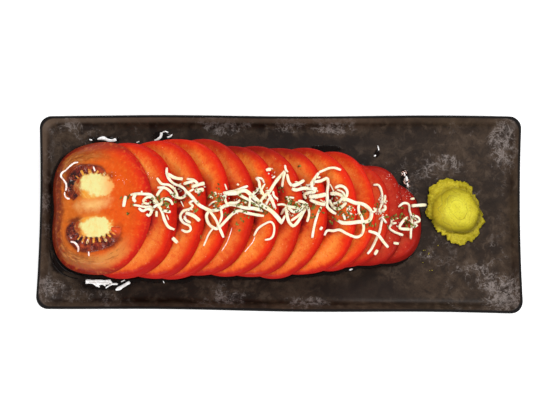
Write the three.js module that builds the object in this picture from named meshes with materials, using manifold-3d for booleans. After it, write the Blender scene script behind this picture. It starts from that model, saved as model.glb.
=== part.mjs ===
// Sliced tomato fanned along a long stoneware plate, with shredded cheese, dried herb flakes and mustard.
// Millimetres, +Z up. The origin is on the ground under the middle of the plate, +X runs along the plate
// towards the mustard and +Y away from the eater.
import * as THREE from "three";
import { mergeVertices } from "three/addons/utils/BufferGeometryUtils.js";
import Module from "manifold-3d";

const wasm = await Module();
wasm.setup();

const degree = Math.PI / 180;

// ---- driving dimensions ----

const plate = {
  halfLength: 133.4,
  halfWidth: 53.9,
  cornerRadius: 7,
  waist: 1.5, // how far the middle of each short side is drawn in
  taper: 0.6, // how much half-width the mustard end gains, and the other end loses
  wobble: 0.35, // hand-made unevenness of the edge
  height: 14,
  lipWidth: 1.7,
  lipRound: 0.9,
  rimSlope: 4.2, // width of the slope from the lip down to the well
  wellHeight: 8.7,
  wellRound: 1.1,
  bellyInset: 3.4, // where the outer wall turns under, in from the edge and up from the ground
  bellyHeight: 6.4,
  footInset: 15,
  footWidth: 4.5,
  footHeight: 2.4,
  footRound: 0.6,
  cornerSteps: 5,
  sideShares: [0, 0.5], // extra stations along each half side, so that it can bow
};

const fan = {
  tilt: 25 * degree, // every slice leans with its left edge down on the plate
  gap: 0.35, // clear distance between neighbours
  stand: 0.3, // and above the plate
  bendStart: 37, // where the lean starts to ease off, over the low end slices
  bendRadius: 38,
  leftEdge: -126.2, // where the first slice stands on the plate
  segments: 32,
  outlinePower: 2.16, // 2 is an ellipse, more is squarer
  firstPower: 2.9, // the first slice's is squarer on its standing side
  skinBulge: 0.45,
  lobe: 0.012, // uneven roundness, as a share of the radius
  furrow: 0.035, // dent in the middle of the first slice's standing side, the same way
  furrowAngle: 0.25,
  bendRings: [0.42, 0.75], // extra rings on a slice that bends, as shares of its radius
};

// One row a slice: right end of its lower face, half-width across the plate, place of its middle across
// the plate, thickness, how much smaller its upper face is than its lower one, all round, and its own
// squareness where that stands out.
const sliceRows = [
  { right: -69.0, halfWidth: 36.3, middle: 0.9, thickness: 5.4, shrink: 3.6 },
  { right: -54.8, halfWidth: 37.1, middle: -0.7, thickness: 5.5, shrink: 1.5 },
  { right: -39.4, halfWidth: 37.4, middle: 0.1, thickness: 5.6, shrink: 0.9 },
  { right: -26.8, halfWidth: 38.0, middle: 1.2, thickness: 5.2, shrink: 0.4 },
  { right: -13.7, halfWidth: 36.9, middle: 1.2, thickness: 5.9, shrink: 0.2 },
  { right: 0.0, halfWidth: 35.1, middle: -0.6, thickness: 5.9, shrink: 0.0 },
  { right: 12.4, halfWidth: 35.1, middle: -0.5, thickness: 5.2, shrink: -0.2 },
  { right: 25.3, halfWidth: 35.0, middle: -0.9, thickness: 5.8, shrink: -0.3 },
  { right: 41.4, halfWidth: 33.9, middle: -0.7, thickness: 6.2, shrink: -0.3 },
  { right: 51.4, halfWidth: 32.2, middle: -0.1, thickness: 5.8, shrink: 0.2 },
  { right: 59.4, halfWidth: 28.6, middle: -1.4, thickness: 5.2, shrink: 0.5 },
  { right: 66.8, halfWidth: 27.3, middle: -1.7, thickness: 4.4, shrink: 0.8, power: 2.9 },
  { right: 77.8, halfWidth: 22.6, middle: -5.3, thickness: 5.4, shrink: 2.0 },
];

// The two seed chambers of the first slice. Each is a crescent of jelly round a pale core, from angle
// start to angle end in degrees; along is measured from the slice's middle up its slope, across towards +Y.
const chambers = [
  {
    name: "seed_jelly_far",
    core: { along: -2.8, across: 11.6, halfLength: 11.2, halfWidth: 6.6 },
    start: 46,
    end: 222,
    depth: { start: 1.6, middle: 6.6, end: 4.0 },
    fingers: 11,
    seedShares: [0.34, 0.6, 0.78],
  },
  {
    name: "seed_jelly_near",
    core: { along: -1.6, across: -10.4, halfLength: 11.4, halfWidth: 5.4 },
    start: 160,
    end: 354,
    depth: { start: 2.4, middle: 8.2, end: 6.4 },
    fingers: 12,
    seedShares: [0.24, 0.4, 0.56, 0.69, 0.82],
  },
];
const jelly = {
  steps: 32,
  fingerDepth: 1.1, // half the length of the fingers of flesh that reach into the jelly
  fingerSwing: 0.4, // how much shorter some of them are, as a share
  fingerWaves: 9,
  unevenness: 0.4, // of the wall
  wallWaves: 17,
  coreSkin: 0.4, // flesh left round the core where no finger stands
  clearance: 0.3,
  sunk: 0.5, // how far the jelly lies below the cut face
  floor: 0.3,
};
const seed = {
  halfLength: 1.35,
  halfWidth: 0.85,
  halfHeight: 0.5,
  detail: 1,
  standOut: 0.62, // above the jelly
  wallShare: 1.3, // its middle's distance from the chamber's wall, in half lengths
};

const mustard = {
  x: 97.4,
  y: 1.4,
  skirtRadius: 16.4,
  stretch: 2.3, // the skirt is this much longer one way than the mean, and as much shorter the other way
  stretchAngle: 116 * degree,
  tab: 2.2, // lip of mustard towards the slices
  notch: 1.6, // bite out of the far edge
  tabAngle: Math.PI,
  tabWidth: 0.2,
  notchAngle: 0.1,
  notchWidth: 0.12,
  domeRadius: 12.4,
  skirtHeight: 5.2,
  height: 14.2,
  ragged: 0.5, // unevenness of the skirt's edge
  rimHeight: 1.2, // thickness of the skirt at its edge
  crease: 1.2, // depth of the groove between dome and skirt
  swirl: 0.9, // relief of the turn left by the spoon on the dome
  swirlTurn: 5.5, // how far that turn winds from the middle to the dome's edge, in radians
  segments: 40,
  rings: [0, 0.2, 0.38, 0.54, 0.64, 0.7, 0.75, 0.82, 0.9, 0.96, 1], // as shares of the radius
  gap: 0.3,
};

const shred = {
  width: 1.9,
  thickness: 1.3,
  step: 2.5, // length of one straight piece
  clearance: 0.45,
  reach: 1.3, // how far to either side the food under a shred is felt for
  feelsPerStep: 3,
  sag: 0.1, // how fast a shred falls away from what holds it up, per millimetre
};

// Where the shreds lie, as seen by an eye above the plate: grid points of `unit` millimetres at rim
// height, x to the right and y towards the eater, counted from the grid's own corner.
const sight = { unit: 0.55, distance: 920, lean: 6 * degree, x: 280, y: 210, plateY: 1.4 };
const shredRoutes = [
  // loops and curls at the left end
  [127, 196, 124, 208],
  [131, 194, 142, 195, 150, 196, 158, 205],
  [137, 195, 135, 203, 142, 208, 150, 208],
  [134, 205, 143, 209, 155, 212],
  [148, 199, 144, 203, 151, 206],
  [152, 197, 160, 208, 164, 218, 168, 226, 175, 230],
  [148, 216, 154, 211, 158, 217],
  [167, 169, 168, 176, 174, 178, 182, 179],
  [168, 176, 174, 184, 183, 188, 190, 195, 198, 203, 207, 209],
  [158, 178, 163, 184, 172, 189, 176, 196, 181, 199, 187, 195, 188, 188],
  [158, 188, 165, 188, 174, 197],
  [157, 196, 163, 190],
  [163, 205, 166, 200, 173, 204],
  [162, 209, 172, 211],
  // middle left
  [185, 184, 193, 182, 205, 184],
  [190, 187, 205, 185],
  [188, 190, 196, 190, 203, 191],
  [185, 180, 196, 180],
  [196, 202, 186, 210, 182, 215, 182, 221, 192, 229, 190, 232, 185, 231],
  [186, 211, 199, 220],
  [173, 238, 178, 243],
  [207, 209, 217, 210, 225, 206, 240, 206, 252, 209, 262, 212],
  [207, 213, 207, 222, 212, 228, 218, 230, 222, 225, 230, 217, 238, 211, 247, 213, 255, 216, 263, 215],
  [221, 209, 221, 218, 219, 226, 224, 238],
  [213, 230, 207, 238, 204, 246],
  [223, 193, 235, 191, 247, 187],
  [223, 193, 243, 192, 258, 200, 265, 205, 275, 213, 281, 224],
  [225, 185, 227, 193],
  // middle
  [258, 180, 259, 187, 263, 195, 270, 200],
  [256, 180, 262, 178, 268, 186],
  [283, 172, 277, 180, 271, 190, 265, 198],
  [283, 172, 281, 188],
  [285, 166, 287, 173, 290, 183, 294, 187, 304, 182],
  [293, 191, 304, 190, 318, 188],
  [272, 193, 276, 199],
  [254, 237, 258, 230, 266, 225, 271, 222, 273, 228, 272, 237, 267, 240],
  [288, 197, 289, 206, 288, 216, 292, 225, 298, 222, 303, 213, 307, 205],
  [319, 207, 315, 222, 311, 238],
  [281, 217, 283, 210, 290, 208, 298, 206, 303, 199],
  [291, 222, 298, 216, 304, 208],
  [302, 199, 308, 205, 309, 214, 306, 223],
  [304, 194, 310, 189, 318, 187],
  [282, 222, 286, 213],
  // middle right
  [340, 170, 332, 168, 324, 172, 318, 175, 315, 182, 303, 195],
  [315, 183, 321, 180, 327, 180, 328, 186, 328, 195, 329, 205, 335, 213],
  [303, 196, 320, 195, 340, 197],
  [310, 200, 325, 204, 335, 210],
  [335, 190, 341, 187, 347, 192, 346, 199, 340, 203],
  [345, 200, 358, 204, 367, 210, 370, 216, 365, 221, 345, 223, 338, 220],
  [358, 204, 359, 212, 362, 222, 361, 230, 357, 236, 340, 231, 330, 232, 325, 236],
  [352, 208, 347, 211, 352, 214],
  [334, 212, 341, 207, 350, 202],
  // right end
  [372, 184, 379, 186, 382, 194, 381, 213],
  [385, 195, 383, 202, 384, 210],
  [371, 213, 376, 211, 374, 208],
  [369, 230, 377, 235, 385, 247],
  [383, 216, 379, 232, 373, 246, 367, 254],
  [374, 255, 377, 250],
  [393, 222, 390, 226, 395, 231, 402, 234],
  [404, 217, 399, 227, 410, 230],
  [398, 207, 407, 206, 411, 215, 411, 228, 410, 239],
  [412, 217, 418, 222, 412, 227],
  [408, 206, 416, 206, 424, 207],
];

// Herb flakes lie in loose groups round these grid points.
const flakeGroups = [
  { x: 131, y: 212, spread: 6, count: 2 },
  { x: 165, y: 203, spread: 9, count: 5 },
  { x: 200, y: 197, spread: 10, count: 4 },
  { x: 222, y: 201, spread: 9, count: 4 },
  { x: 255, y: 203, spread: 9, count: 4 },
  { x: 293, y: 203, spread: 9, count: 5 },
  { x: 310, y: 212, spread: 9, count: 4 },
  { x: 343, y: 213, spread: 9, count: 5 },
  { x: 378, y: 213, spread: 8, count: 3 },
  { x: 403, y: 222, spread: 6, count: 3 },
];
const flake = { halfLength: 1.05, halfWidth: 0.62, halfHeight: 0.3, detail: 0 };
const flakeClear = { shreds: 2.1, edges: 1.8, attempts: 60, start: 11 };

// ---- solids ----

// A manifold solid of a closed geometry, whichever way its faces were wound.
function solidOf(geometry) {
  const bare = geometry.clone();
  for (const attribute of ["normal", "uv"]) bare.deleteAttribute(attribute);
  const merged = mergeVertices(bare, 1e-4);
  const corners = Array.from(merged.index.array);
  const faces = [];
  for (let i = 0; i < corners.length; i += 3) {
    const [a, b, c] = corners.slice(i, i + 3);
    if (a !== b && b !== c && c !== a) faces.push([a, b, c]);
  }
  const build = (list) =>
    new wasm.Manifold(
      new wasm.Mesh({
        numProp: 3,
        vertProperties: new Float32Array(merged.getAttribute("position").array),
        triVerts: new Uint32Array(list.flat()),
      }),
    );
  const made = build(faces);
  return made.volume() < 0 ? build(faces.map(([a, b, c]) => [a, c, b])) : made;
}

function geometryOf(solid) {
  const mesh = solid.getMesh();
  const points = [];
  for (let i = 0; i < mesh.numVert; i++) {
    points.push(...mesh.vertProperties.subarray(i * mesh.numProp, i * mesh.numProp + 3));
  }
  const geometry = new THREE.BufferGeometry();
  geometry.setAttribute("position", new THREE.Float32BufferAttribute(points, 3));
  geometry.setIndex(Array.from(mesh.triVerts));
  geometry.computeVertexNormals();
  return geometry;
}

// Turns a profile of [radius, height] pairs and moves each vertex to place(radius, angle, height).
function shapedLathe(profile, segments, place) {
  const geometry = new THREE.LatheGeometry(
    profile.map(([radius, height]) => new THREE.Vector2(radius, height)),
    segments,
  );
  const position = geometry.getAttribute("position");
  for (let i = 0; i < position.count; i++) {
    const radius = Math.hypot(position.getX(i), position.getZ(i));
    const angle = Math.atan2(position.getX(i), position.getZ(i));
    position.setXYZ(i, ...place(radius, angle, position.getY(i)).toArray());
  }
  return geometry;
}

// Joins rings of points, with as many points each, and closes both ends on the rings' middles.
function loft(rings) {
  const count = rings[0].length;
  const points = rings.flat();
  const faces = [];
  for (let ring = 0; ring + 1 < rings.length; ring++) {
    for (let i = 0; i < count; i++) {
      const a = ring * count + i;
      const b = ring * count + ((i + 1) % count);
      faces.push(a, b, b + count, a, b + count, a + count);
    }
  }
  const middleOf = (ring) =>
    ring.reduce((sum, p) => sum.add(p), new THREE.Vector3()).divideScalar(ring.length);
  const last = (rings.length - 1) * count;
  points.push(middleOf(rings[0]), middleOf(rings[rings.length - 1]));
  for (let i = 0; i < count; i++) {
    const next = (i + 1) % count;
    faces.push(next, i, points.length - 2);
    faces.push(last + i, last + next, points.length - 1);
  }
  const geometry = new THREE.BufferGeometry();
  geometry.setAttribute(
    "position",
    new THREE.Float32BufferAttribute(points.flatMap((p) => p.toArray()), 3),
  );
  geometry.setIndex(faces);
  return geometry;
}

// 1 at the angle `at`, either side of zero, and down to nothing a few widths away.
function bump(angle, at, width) {
  return Math.exp(-(((Math.abs(angle) - at) / width) ** 2));
}

// Even, repeatable numbers from 0 to 1.
function seeded(start) {
  let state = start;
  return () => {
    state = (state * 1664525 + 1013904223) % 4294967296;
    return state / 4294967296;
  };
}

// ---- plate ----

// One closed line round the plate, `inset` inside its edge, at height z.
function plateRing(inset, z) {
  const { halfLength, halfWidth, cornerRadius, cornerSteps, sideShares, waist, taper, wobble } = plate;
  const ring = [];
  const add = (alongOut, alongSide, out, side) => {
    const p = new THREE.Vector3().addScaledVector(out, alongOut).addScaledVector(side, alongSide);
    p.z = z;
    const middle = Math.max(0, 1 - (p.y / halfWidth) ** 2);
    p.x -= Math.sign(p.x) * waist * middle * Math.abs(p.x / halfLength) ** 6;
    p.y *= 1 + (taper * p.x) / halfLength / halfWidth;
    const swing = wobble * Math.sin(0.043 * p.x + 1.1) * Math.cos(0.06 * p.y);
    p.y += swing * (Math.abs(p.y) / halfWidth) ** 4;
    ring.push(p);
  };
  for (let quarter = 0; quarter < 4; quarter++) {
    const angle = (quarter * Math.PI) / 2;
    const out = new THREE.Vector3(Math.cos(angle), Math.sin(angle), 0);
    const side = new THREE.Vector3(-Math.sin(angle), Math.cos(angle), 0);
    const reach = (quarter % 2 ? halfWidth : halfLength) - inset;
    const span = (quarter % 2 ? halfLength : halfWidth) - inset - cornerRadius;
    for (const share of sideShares) add(reach, share * span, out, side);
    for (let step = 0; step <= cornerSteps; step++) {
      const turn = (step / cornerSteps) * (Math.PI / 2);
      add(
        reach - cornerRadius + cornerRadius * Math.cos(turn),
        span + cornerRadius * Math.sin(turn),
        out,
        side,
      );
    }
    const nextSpan = reach - cornerRadius;
    for (const share of sideShares.slice(1).reverse()) {
      add(share * nextSpan, span + cornerRadius, out, side);
    }
  }
  return ring;
}

function plateGeometry() {
  const { height, lipWidth, lipRound, rimSlope, wellHeight, wellRound, bellyInset, bellyHeight } = plate;
  const { footInset, footWidth, footHeight, footRound } = plate;
  const footInner = footInset + footWidth;
  const wellEdge = lipWidth + rimSlope;
  return loft([
    plateRing(footInner + 2 * footWidth, footHeight),
    plateRing(footInner + footRound, footHeight),
    plateRing(footInner, footRound),
    plateRing(footInner - footRound, 0),
    plateRing(footInset + footRound, 0),
    plateRing(footInset, footRound),
    plateRing(footInset - footRound, footHeight),
    plateRing(bellyInset, bellyHeight),
    plateRing(0.15 * lipRound, height - 2 * lipRound),
    plateRing(0, height - lipRound),
    plateRing(0.4 * lipRound, height - 0.2 * lipRound),
    plateRing(lipRound, height),
    plateRing(lipWidth, height - 0.5 * lipRound),
    plateRing(wellEdge - 0.7 * wellRound, wellHeight + wellRound),
    plateRing(wellEdge + wellRound, wellHeight + 0.2 * wellRound),
    plateRing(wellEdge + 5 * wellRound, wellHeight),
  ]);
}

// ---- the fan of slices ----

// Every slice's lower face is the same line, moved down until its left edge stands on the plate. The line
// climbs at the fan's tilt, turns level on an arc and stays level.
const bendEnd = fan.bendStart + fan.bendRadius * Math.sin(fan.tilt);

function lineHeight(x) {
  if (x <= fan.bendStart) return (x - fan.bendStart) * Math.tan(fan.tilt);
  const top = fan.bendRadius * (1 - Math.cos(fan.tilt));
  if (x >= bendEnd) return top;
  return Math.sqrt(fan.bendRadius ** 2 - (bendEnd - x) ** 2) - fan.bendRadius * Math.cos(fan.tilt);
}

function lineAngle(x) {
  if (x <= fan.bendStart) return fan.tilt;
  return x >= bendEnd ? 0 : Math.asin((bendEnd - x) / fan.bendRadius);
}

// Distance along the line, counted from where it starts to bend, and the way back.
function lineLength(x) {
  if (x <= fan.bendStart) return (x - fan.bendStart) / Math.cos(fan.tilt);
  if (x >= bendEnd) return fan.bendRadius * fan.tilt + x - bendEnd;
  return fan.bendRadius * (fan.tilt - lineAngle(x));
}

function lineX(length) {
  if (length <= 0) return fan.bendStart + length * Math.cos(fan.tilt);
  const arc = fan.bendRadius * fan.tilt;
  if (length >= arc) return bendEnd + length - arc;
  return bendEnd - fan.bendRadius * Math.sin(fan.tilt - length / fan.bendRadius);
}

// Each slice with its worked-out places: it starts where the slice above it leaves room for its thickness.
const standHeight = plate.wellHeight + fan.stand;
const slices = [];
for (const [index, row] of sliceRows.entries()) {
  const before = slices[index - 1];
  const left = before ? before.left + (row.thickness + fan.gap) / Math.sin(fan.tilt) : fan.leftEdge;
  slices.push({
    ...row,
    index,
    left,
    halfLength: (lineLength(row.right) - lineLength(left)) / 2,
  });
}

// Radius of a slice's edge against a plain ellipse, which makes it squarer and a little lobed.
function edgeFactor(slice, angle) {
  const standing = slice.index === 0 ? Math.max(0, -Math.cos(angle)) : 0;
  const power = THREE.MathUtils.lerp(slice.power ?? fan.outlinePower, fan.firstPower, standing);
  const square = (Math.abs(Math.cos(angle)) ** power + Math.abs(Math.sin(angle)) ** power) ** (-1 / power);
  const phase = 1.7 * slice.index;
  const lobes = Math.cos(3 * angle + phase) + 0.7 * Math.cos(5 * angle - 2 * phase);
  const furrow = slice.index === 0 ? fan.furrow * bump(angle, Math.PI, fan.furrowAngle) : 0;
  return square * (1 + fan.lobe * lobes - furrow);
}

// A point of a slice: along its slope and across it from its middle, and `up` from its lower face.
function slicePoint(slice, along, across, up) {
  const x = lineX(lineLength(slice.left) + slice.halfLength + along);
  const angle = lineAngle(x);
  return new THREE.Vector3(
    x - up * Math.sin(angle),
    slice.middle + across,
    standHeight + lineHeight(x) - lineHeight(slice.left) + up * Math.cos(angle),
  );
}

function sliceGeometry(slice) {
  const { thickness, shrink, halfLength, halfWidth } = slice;
  const bends = slice.right > fan.bendStart && slice.left < bendEnd;
  const inner = bends ? fan.bendRings : [];
  const profile = [
    [0, 0],
    ...inner.map((share) => [share, 0]),
    [1, 0],
    [1, 0.5],
    [1, 1],
    ...inner.toReversed().map((share) => [share, 1]),
    [0, 1],
  ];
  return shapedLathe(profile, fan.segments, (radius, angle, level) => {
    const out = level === 0.5 ? fan.skinBulge : 0;
    const factor = radius * edgeFactor(slice, angle);
    return slicePoint(
      slice,
      factor * Math.cos(angle) * (halfLength - shrink * level + out),
      factor * Math.sin(angle) * (halfWidth - shrink * level + out),
      level * thickness,
    );
  });
}

// What shows at a place seen from above: the slice, the point in its own plane, how far up its side wall
// (1 on the cut face) and the height.
function shownAt(x, y) {
  for (const slice of slices) {
    for (const level of [1, 0.75, 0.5, 0.25, 0]) {
      let foot = x;
      for (let pass = 0; pass < 3; pass++) foot = x + level * slice.thickness * Math.sin(lineAngle(foot));
      const along = lineLength(foot) - lineLength(slice.left) - slice.halfLength;
      const across = y - slice.middle;
      const grow = fan.skinBulge * (1 - Math.abs(2 * level - 1)) - slice.shrink * level;
      const alongShare = along / (slice.halfLength + grow);
      const acrossShare = across / (slice.halfWidth + grow);
      const edge = edgeFactor(slice, Math.atan2(acrossShare, alongShare));
      if (Math.hypot(alongShare, acrossShare) <= edge) {
        const { z } = slicePoint(slice, along, across, level * slice.thickness);
        return { slice, along, across, level, z };
      }
    }
  }
  return { slice: null, z: plate.wellHeight };
}

// ---- jelly and seeds of the first slice ----

// How far from the core the jelly begins and ends, at a share of the way round its crescent.
function jellyReach({ depth, fingers }, share) {
  const bow = Math.sin(Math.PI * share);
  const ends = THREE.MathUtils.lerp(depth.start, depth.end, share);
  const uneven = jelly.unevenness * Math.sin(jelly.wallWaves * share);
  const outer = THREE.MathUtils.lerp(ends, depth.middle, bow) + uneven;
  const swing = 1 - jelly.fingerSwing * (1 - Math.sin(jelly.fingerWaves * share));
  const size = jelly.fingerDepth * Math.min(1, 1.6 * bow) * swing;
  const inner = jelly.coreSkin + size * (1 + Math.cos(2 * Math.PI * fingers * share));
  return { inner, outer };
}

// A place round the core, in the slice's own plane.
function roundCore({ core, start, end }, share, distance) {
  const angle = (start + (end - start) * share) * degree;
  return new THREE.Vector2(
    core.along + (core.halfLength + distance) * Math.cos(angle),
    core.across + (core.halfWidth + distance) * Math.sin(angle),
  );
}

// The crescent between the core and the wall, drawn in by `inset`.
function crescent(chamber, inset) {
  const wallSide = [];
  const coreSide = [];
  const endInset = inset / (chamber.core.halfLength * (chamber.end - chamber.start) * degree);
  for (let step = 0; step <= jelly.steps; step++) {
    const share = THREE.MathUtils.lerp(endInset, 1 - endInset, step / jelly.steps);
    const { inner, outer } = jellyReach(chamber, share);
    wallSide.push(roundCore(chamber, share, outer - inset));
    coreSide.push(roundCore(chamber, share, inner + inset));
  }
  return [...wallSide, ...coreSide.reverse()];
}

function crescentPrism(chamber, inset, low, high) {
  const shape = new THREE.Shape(crescent(chamber, inset));
  const prism = new THREE.ExtrudeGeometry(shape, { depth: high - low, bevelEnabled: false });
  const position = prism.getAttribute("position");
  for (let i = 0; i < position.count; i++) {
    const p = slicePoint(slices[0], position.getX(i), position.getY(i), low + position.getZ(i));
    position.setXYZ(i, p.x, p.y, p.z);
  }
  return solidOf(prism);
}

// A small lens turned to lie on a slice's upper face.
function lens(slice, along, across, up, size, turn) {
  const geometry = new THREE.OctahedronGeometry(1, size.detail);
  geometry.scale(size.halfLength, size.halfWidth, size.halfHeight);
  geometry.rotateZ(turn);
  const centre = slicePoint(slice, along, across, up);
  geometry.rotateY(-lineAngle(centre.x));
  geometry.translate(centre.x, centre.y, centre.z);
  return solidOf(geometry);
}

function jellySolid(chamber) {
  const top = slices[0].thickness - jelly.sunk;
  let solid = crescentPrism(chamber, jelly.clearance, jelly.floor, top);
  for (const share of chamber.seedShares) {
    const { outer } = jellyReach(chamber, share);
    const middle = roundCore(chamber, share, outer - jelly.clearance - seed.wallShare * seed.halfLength);
    const turn = Math.atan2(middle.y - chamber.core.across, middle.x - chamber.core.along);
    const up = top + seed.standOut - seed.halfHeight;
    solid = solid.add(lens(slices[0], middle.x, middle.y, up, seed, turn));
  }
  return solid;
}

// ---- mustard ----

function mustardGeometry() {
  const { domeRadius, skirtHeight, height, crease, swirl, swirlTurn } = mustard;
  const base = plate.wellHeight + mustard.gap;
  const edge = (angle) =>
    mustard.skirtRadius +
    mustard.stretch * Math.cos(2 * (angle - mustard.stretchAngle)) +
    mustard.ragged * (Math.cos(5 * angle + 1) + 0.8 * Math.cos(9 * angle + 2)) +
    mustard.tab * bump(angle, mustard.tabAngle, mustard.tabWidth) -
    mustard.notch * bump(angle, mustard.notchAngle, mustard.notchWidth);
  const rise = (distance, angle) => {
    const skirt = skirtHeight * (1 - (distance / edge(angle)) ** 3) ** 0.6;
    const share = distance / domeRadius;
    if (share >= 1) return skirt - crease * Math.exp(-(((share - 1.03) / 0.1) ** 2));
    const turn = swirl * Math.cos(angle - swirlTurn * share) * share * (1 - share) * 4;
    return skirt + (height - skirtHeight) * Math.sqrt(1 - share ** 2.4) + turn - crease * share ** 12;
  };
  const upper = mustard.rings.toReversed().map((share) => [share, 1]);
  const profile = [[0, 0], [0.5, 0], [0.97, 0], ...upper];
  return shapedLathe(profile, mustard.segments, (share, angle, level) => {
    const distance = share * edge(angle);
    const rim = share > 0.999 ? mustard.rimHeight : 0;
    const up = level === 0 ? 0 : Math.max(rim, rise(Math.min(distance, 0.995 * edge(angle)), angle));
    return new THREE.Vector3(
      mustard.x + distance * Math.cos(angle),
      mustard.y + distance * Math.sin(angle),
      base + up,
    );
  });
}

// ---- cheese ----

// The place on the food under a grid point.
function seenAt([gridX, gridY]) {
  let z = 30;
  let place = { x: 0, y: 0 };
  for (let pass = 0; pass < 6; pass++) {
    const closer = 1 - (z - plate.height) / sight.distance;
    place = {
      x: (gridX - sight.x) * sight.unit * closer,
      y: sight.plateY + (sight.y - gridY) * sight.unit * closer - (z - plate.height) * Math.tan(sight.lean),
    };
    z = shownAt(place.x, place.y).z;
  }
  return place;
}

function pairs(flat) {
  return Array.from({ length: flat.length / 2 }, (_, i) => [flat[2 * i], flat[2 * i + 1]]);
}

// A route laid over the food: even steps, held up by the highest food near each step.
function draped(flat) {
  const corners = pairs(flat).map(seenAt);
  const plan = new THREE.CatmullRomCurve3(
    corners.map(({ x, y }) => new THREE.Vector3(x, y, 0)),
    false,
    "centripetal",
  );
  const steps = Math.max(3, Math.round(plan.getLength() / shred.step));
  const fine = plan.getSpacedPoints(steps * shred.feelsPerStep);
  const ground = fine.map((p) => {
    let highest = 0;
    for (const dx of [-shred.reach, 0, shred.reach]) {
      for (const dy of [-shred.reach, 0, shred.reach]) {
        highest = Math.max(highest, shownAt(p.x + dx, p.y + dy).z);
      }
    }
    return highest;
  });
  const stepLength = plan.getLength() / (fine.length - 1);
  const lift = shred.thickness / 2 + shred.clearance;
  const points = fine.map((p, i) => {
    const held = ground.map((z, k) => z - shred.sag * ((i - k) * stepLength) ** 2);
    return new THREE.Vector3(p.x, p.y, Math.max(...held) + lift);
  });
  return points.filter((_, i) => i % shred.feelsPerStep === 0);
}

// A flat strip along the points, lying on its wide side.
function shredSolid(points) {
  const rings = points.map((point, i) => {
    const before = points[Math.max(0, i - 1)];
    const after = points[Math.min(points.length - 1, i + 1)];
    const forward = after.clone().sub(before).normalize();
    const side = new THREE.Vector3(forward.y, -forward.x, 0).normalize();
    const up = side.clone().cross(forward);
    const corner = (across, above) =>
      point
        .clone()
        .addScaledVector(side, (across * shred.width) / 2)
        .addScaledVector(up, (above * shred.thickness) / 2);
    return [corner(1, 1), corner(-1, 1), corner(-1, -1), corner(1, -1)];
  });
  return solidOf(loft(rings));
}

const shredLines = shredRoutes.map(draped);

// The shreds that cross are one tangle; those that touch nothing stay single.
function cheeseSolids() {
  const whole = shredLines.map(shredSolid).reduce((sum, solid) => sum.add(solid));
  return whole
    .decompose()
    .filter((piece) => piece.volume() > 0.5)
    .sort((a, b) => b.volume() - a.volume());
}

// ---- herb flakes ----

function flakePlaces() {
  const random = seeded(flakeClear.start);
  const shreds = shredLines.flat();
  const places = [];
  for (const group of flakeGroups) {
    let placed = 0;
    for (let attempt = 0; attempt < flakeClear.attempts && placed < group.count; attempt++) {
      const turn = random() * 2 * Math.PI;
      const distance = group.spread * Math.sqrt(random());
      const spin = random() * Math.PI;
      const spot = seenAt([group.x + distance * Math.cos(turn), group.y + distance * Math.sin(turn)]);
      const found = shownAt(spot.x, spot.y);
      const clear = shreds.every((p) => Math.hypot(p.x - spot.x, p.y - spot.y) > flakeClear.shreds);
      const around = [0, 1, 2, 3].every((quarter) => {
        const bearing = (quarter * Math.PI) / 2;
        const dx = flakeClear.edges * Math.cos(bearing);
        const dy = flakeClear.edges * Math.sin(bearing);
        const near = shownAt(spot.x + dx, spot.y + dy);
        return near.slice === found.slice && near.level === 1;
      });
      if (found.level === 1 && clear && around) {
        places.push({ ...found, spin });
        placed++;
      }
    }
  }
  return places;
}

// ---- the whole ----

const materials = {
  glaze: { color: 0x3f3833, roughness: 0.38, metalness: 0 },
  flesh: { color: 0xe8531f, roughness: 0.3, metalness: 0 },
  jelly: { color: 0x7c2410, roughness: 0.15, metalness: 0 },
  mustard: { color: 0xc9b93a, roughness: 0.6, metalness: 0 },
  cheese: { color: 0xfff3d0, roughness: 0.55, metalness: 0 },
};

const food = new THREE.Group();

function addPiece(name, geometry, finish) {
  const mesh = new THREE.Mesh(geometry, new THREE.MeshStandardMaterial(materials[finish]));
  mesh.name = name;
  food.add(mesh);
}

addPiece("plate", geometryOf(solidOf(plateGeometry())), "glaze");

const flakes = flakePlaces();
for (const slice of slices) {
  let solid = solidOf(sliceGeometry(slice));
  if (slice.index === 0) {
    for (const chamber of chambers) {
      solid = solid.subtract(crescentPrism(chamber, 0, -1, slice.thickness + 1));
    }
  }
  for (const found of flakes.filter((one) => one.slice === slice)) {
    solid = solid.add(lens(slice, found.along, found.across, slice.thickness, flake, found.spin));
  }
  addPiece(`tomato_slice_${String(slice.index + 1).padStart(2, "0")}`, geometryOf(solid), "flesh");
}
for (const chamber of chambers) {
  addPiece(chamber.name, geometryOf(jellySolid(chamber)), "jelly");
}
addPiece("mustard", geometryOf(solidOf(mustardGeometry())), "mustard");
cheeseSolids().forEach((piece, index) => {
  const name = index === 0 ? "cheese_shreds" : `cheese_shred_${String(index).padStart(2, "0")}`;
  addPiece(name, geometryOf(piece), "cheese");
});

export default food;
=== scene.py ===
import math
import random

import bmesh
import bpy
from mathutils import Matrix, Quaternion, Vector, kdtree, noise
from mathutils.bvhtree import BVHTree


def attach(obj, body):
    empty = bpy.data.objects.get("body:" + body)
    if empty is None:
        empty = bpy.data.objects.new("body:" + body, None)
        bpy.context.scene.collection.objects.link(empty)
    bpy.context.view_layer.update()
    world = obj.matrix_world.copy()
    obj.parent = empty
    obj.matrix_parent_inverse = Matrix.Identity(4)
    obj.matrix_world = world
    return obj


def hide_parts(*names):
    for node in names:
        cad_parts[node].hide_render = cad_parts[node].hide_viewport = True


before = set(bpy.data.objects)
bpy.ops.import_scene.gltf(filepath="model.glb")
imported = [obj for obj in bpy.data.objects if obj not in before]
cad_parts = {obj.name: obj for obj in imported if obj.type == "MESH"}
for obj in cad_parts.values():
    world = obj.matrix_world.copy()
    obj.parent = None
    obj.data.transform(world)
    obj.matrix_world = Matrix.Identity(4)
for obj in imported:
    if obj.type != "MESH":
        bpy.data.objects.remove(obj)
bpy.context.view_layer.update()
mm = 0.001  # shapes are worked out in millimetres and scaled once, when a piece is finished
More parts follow.
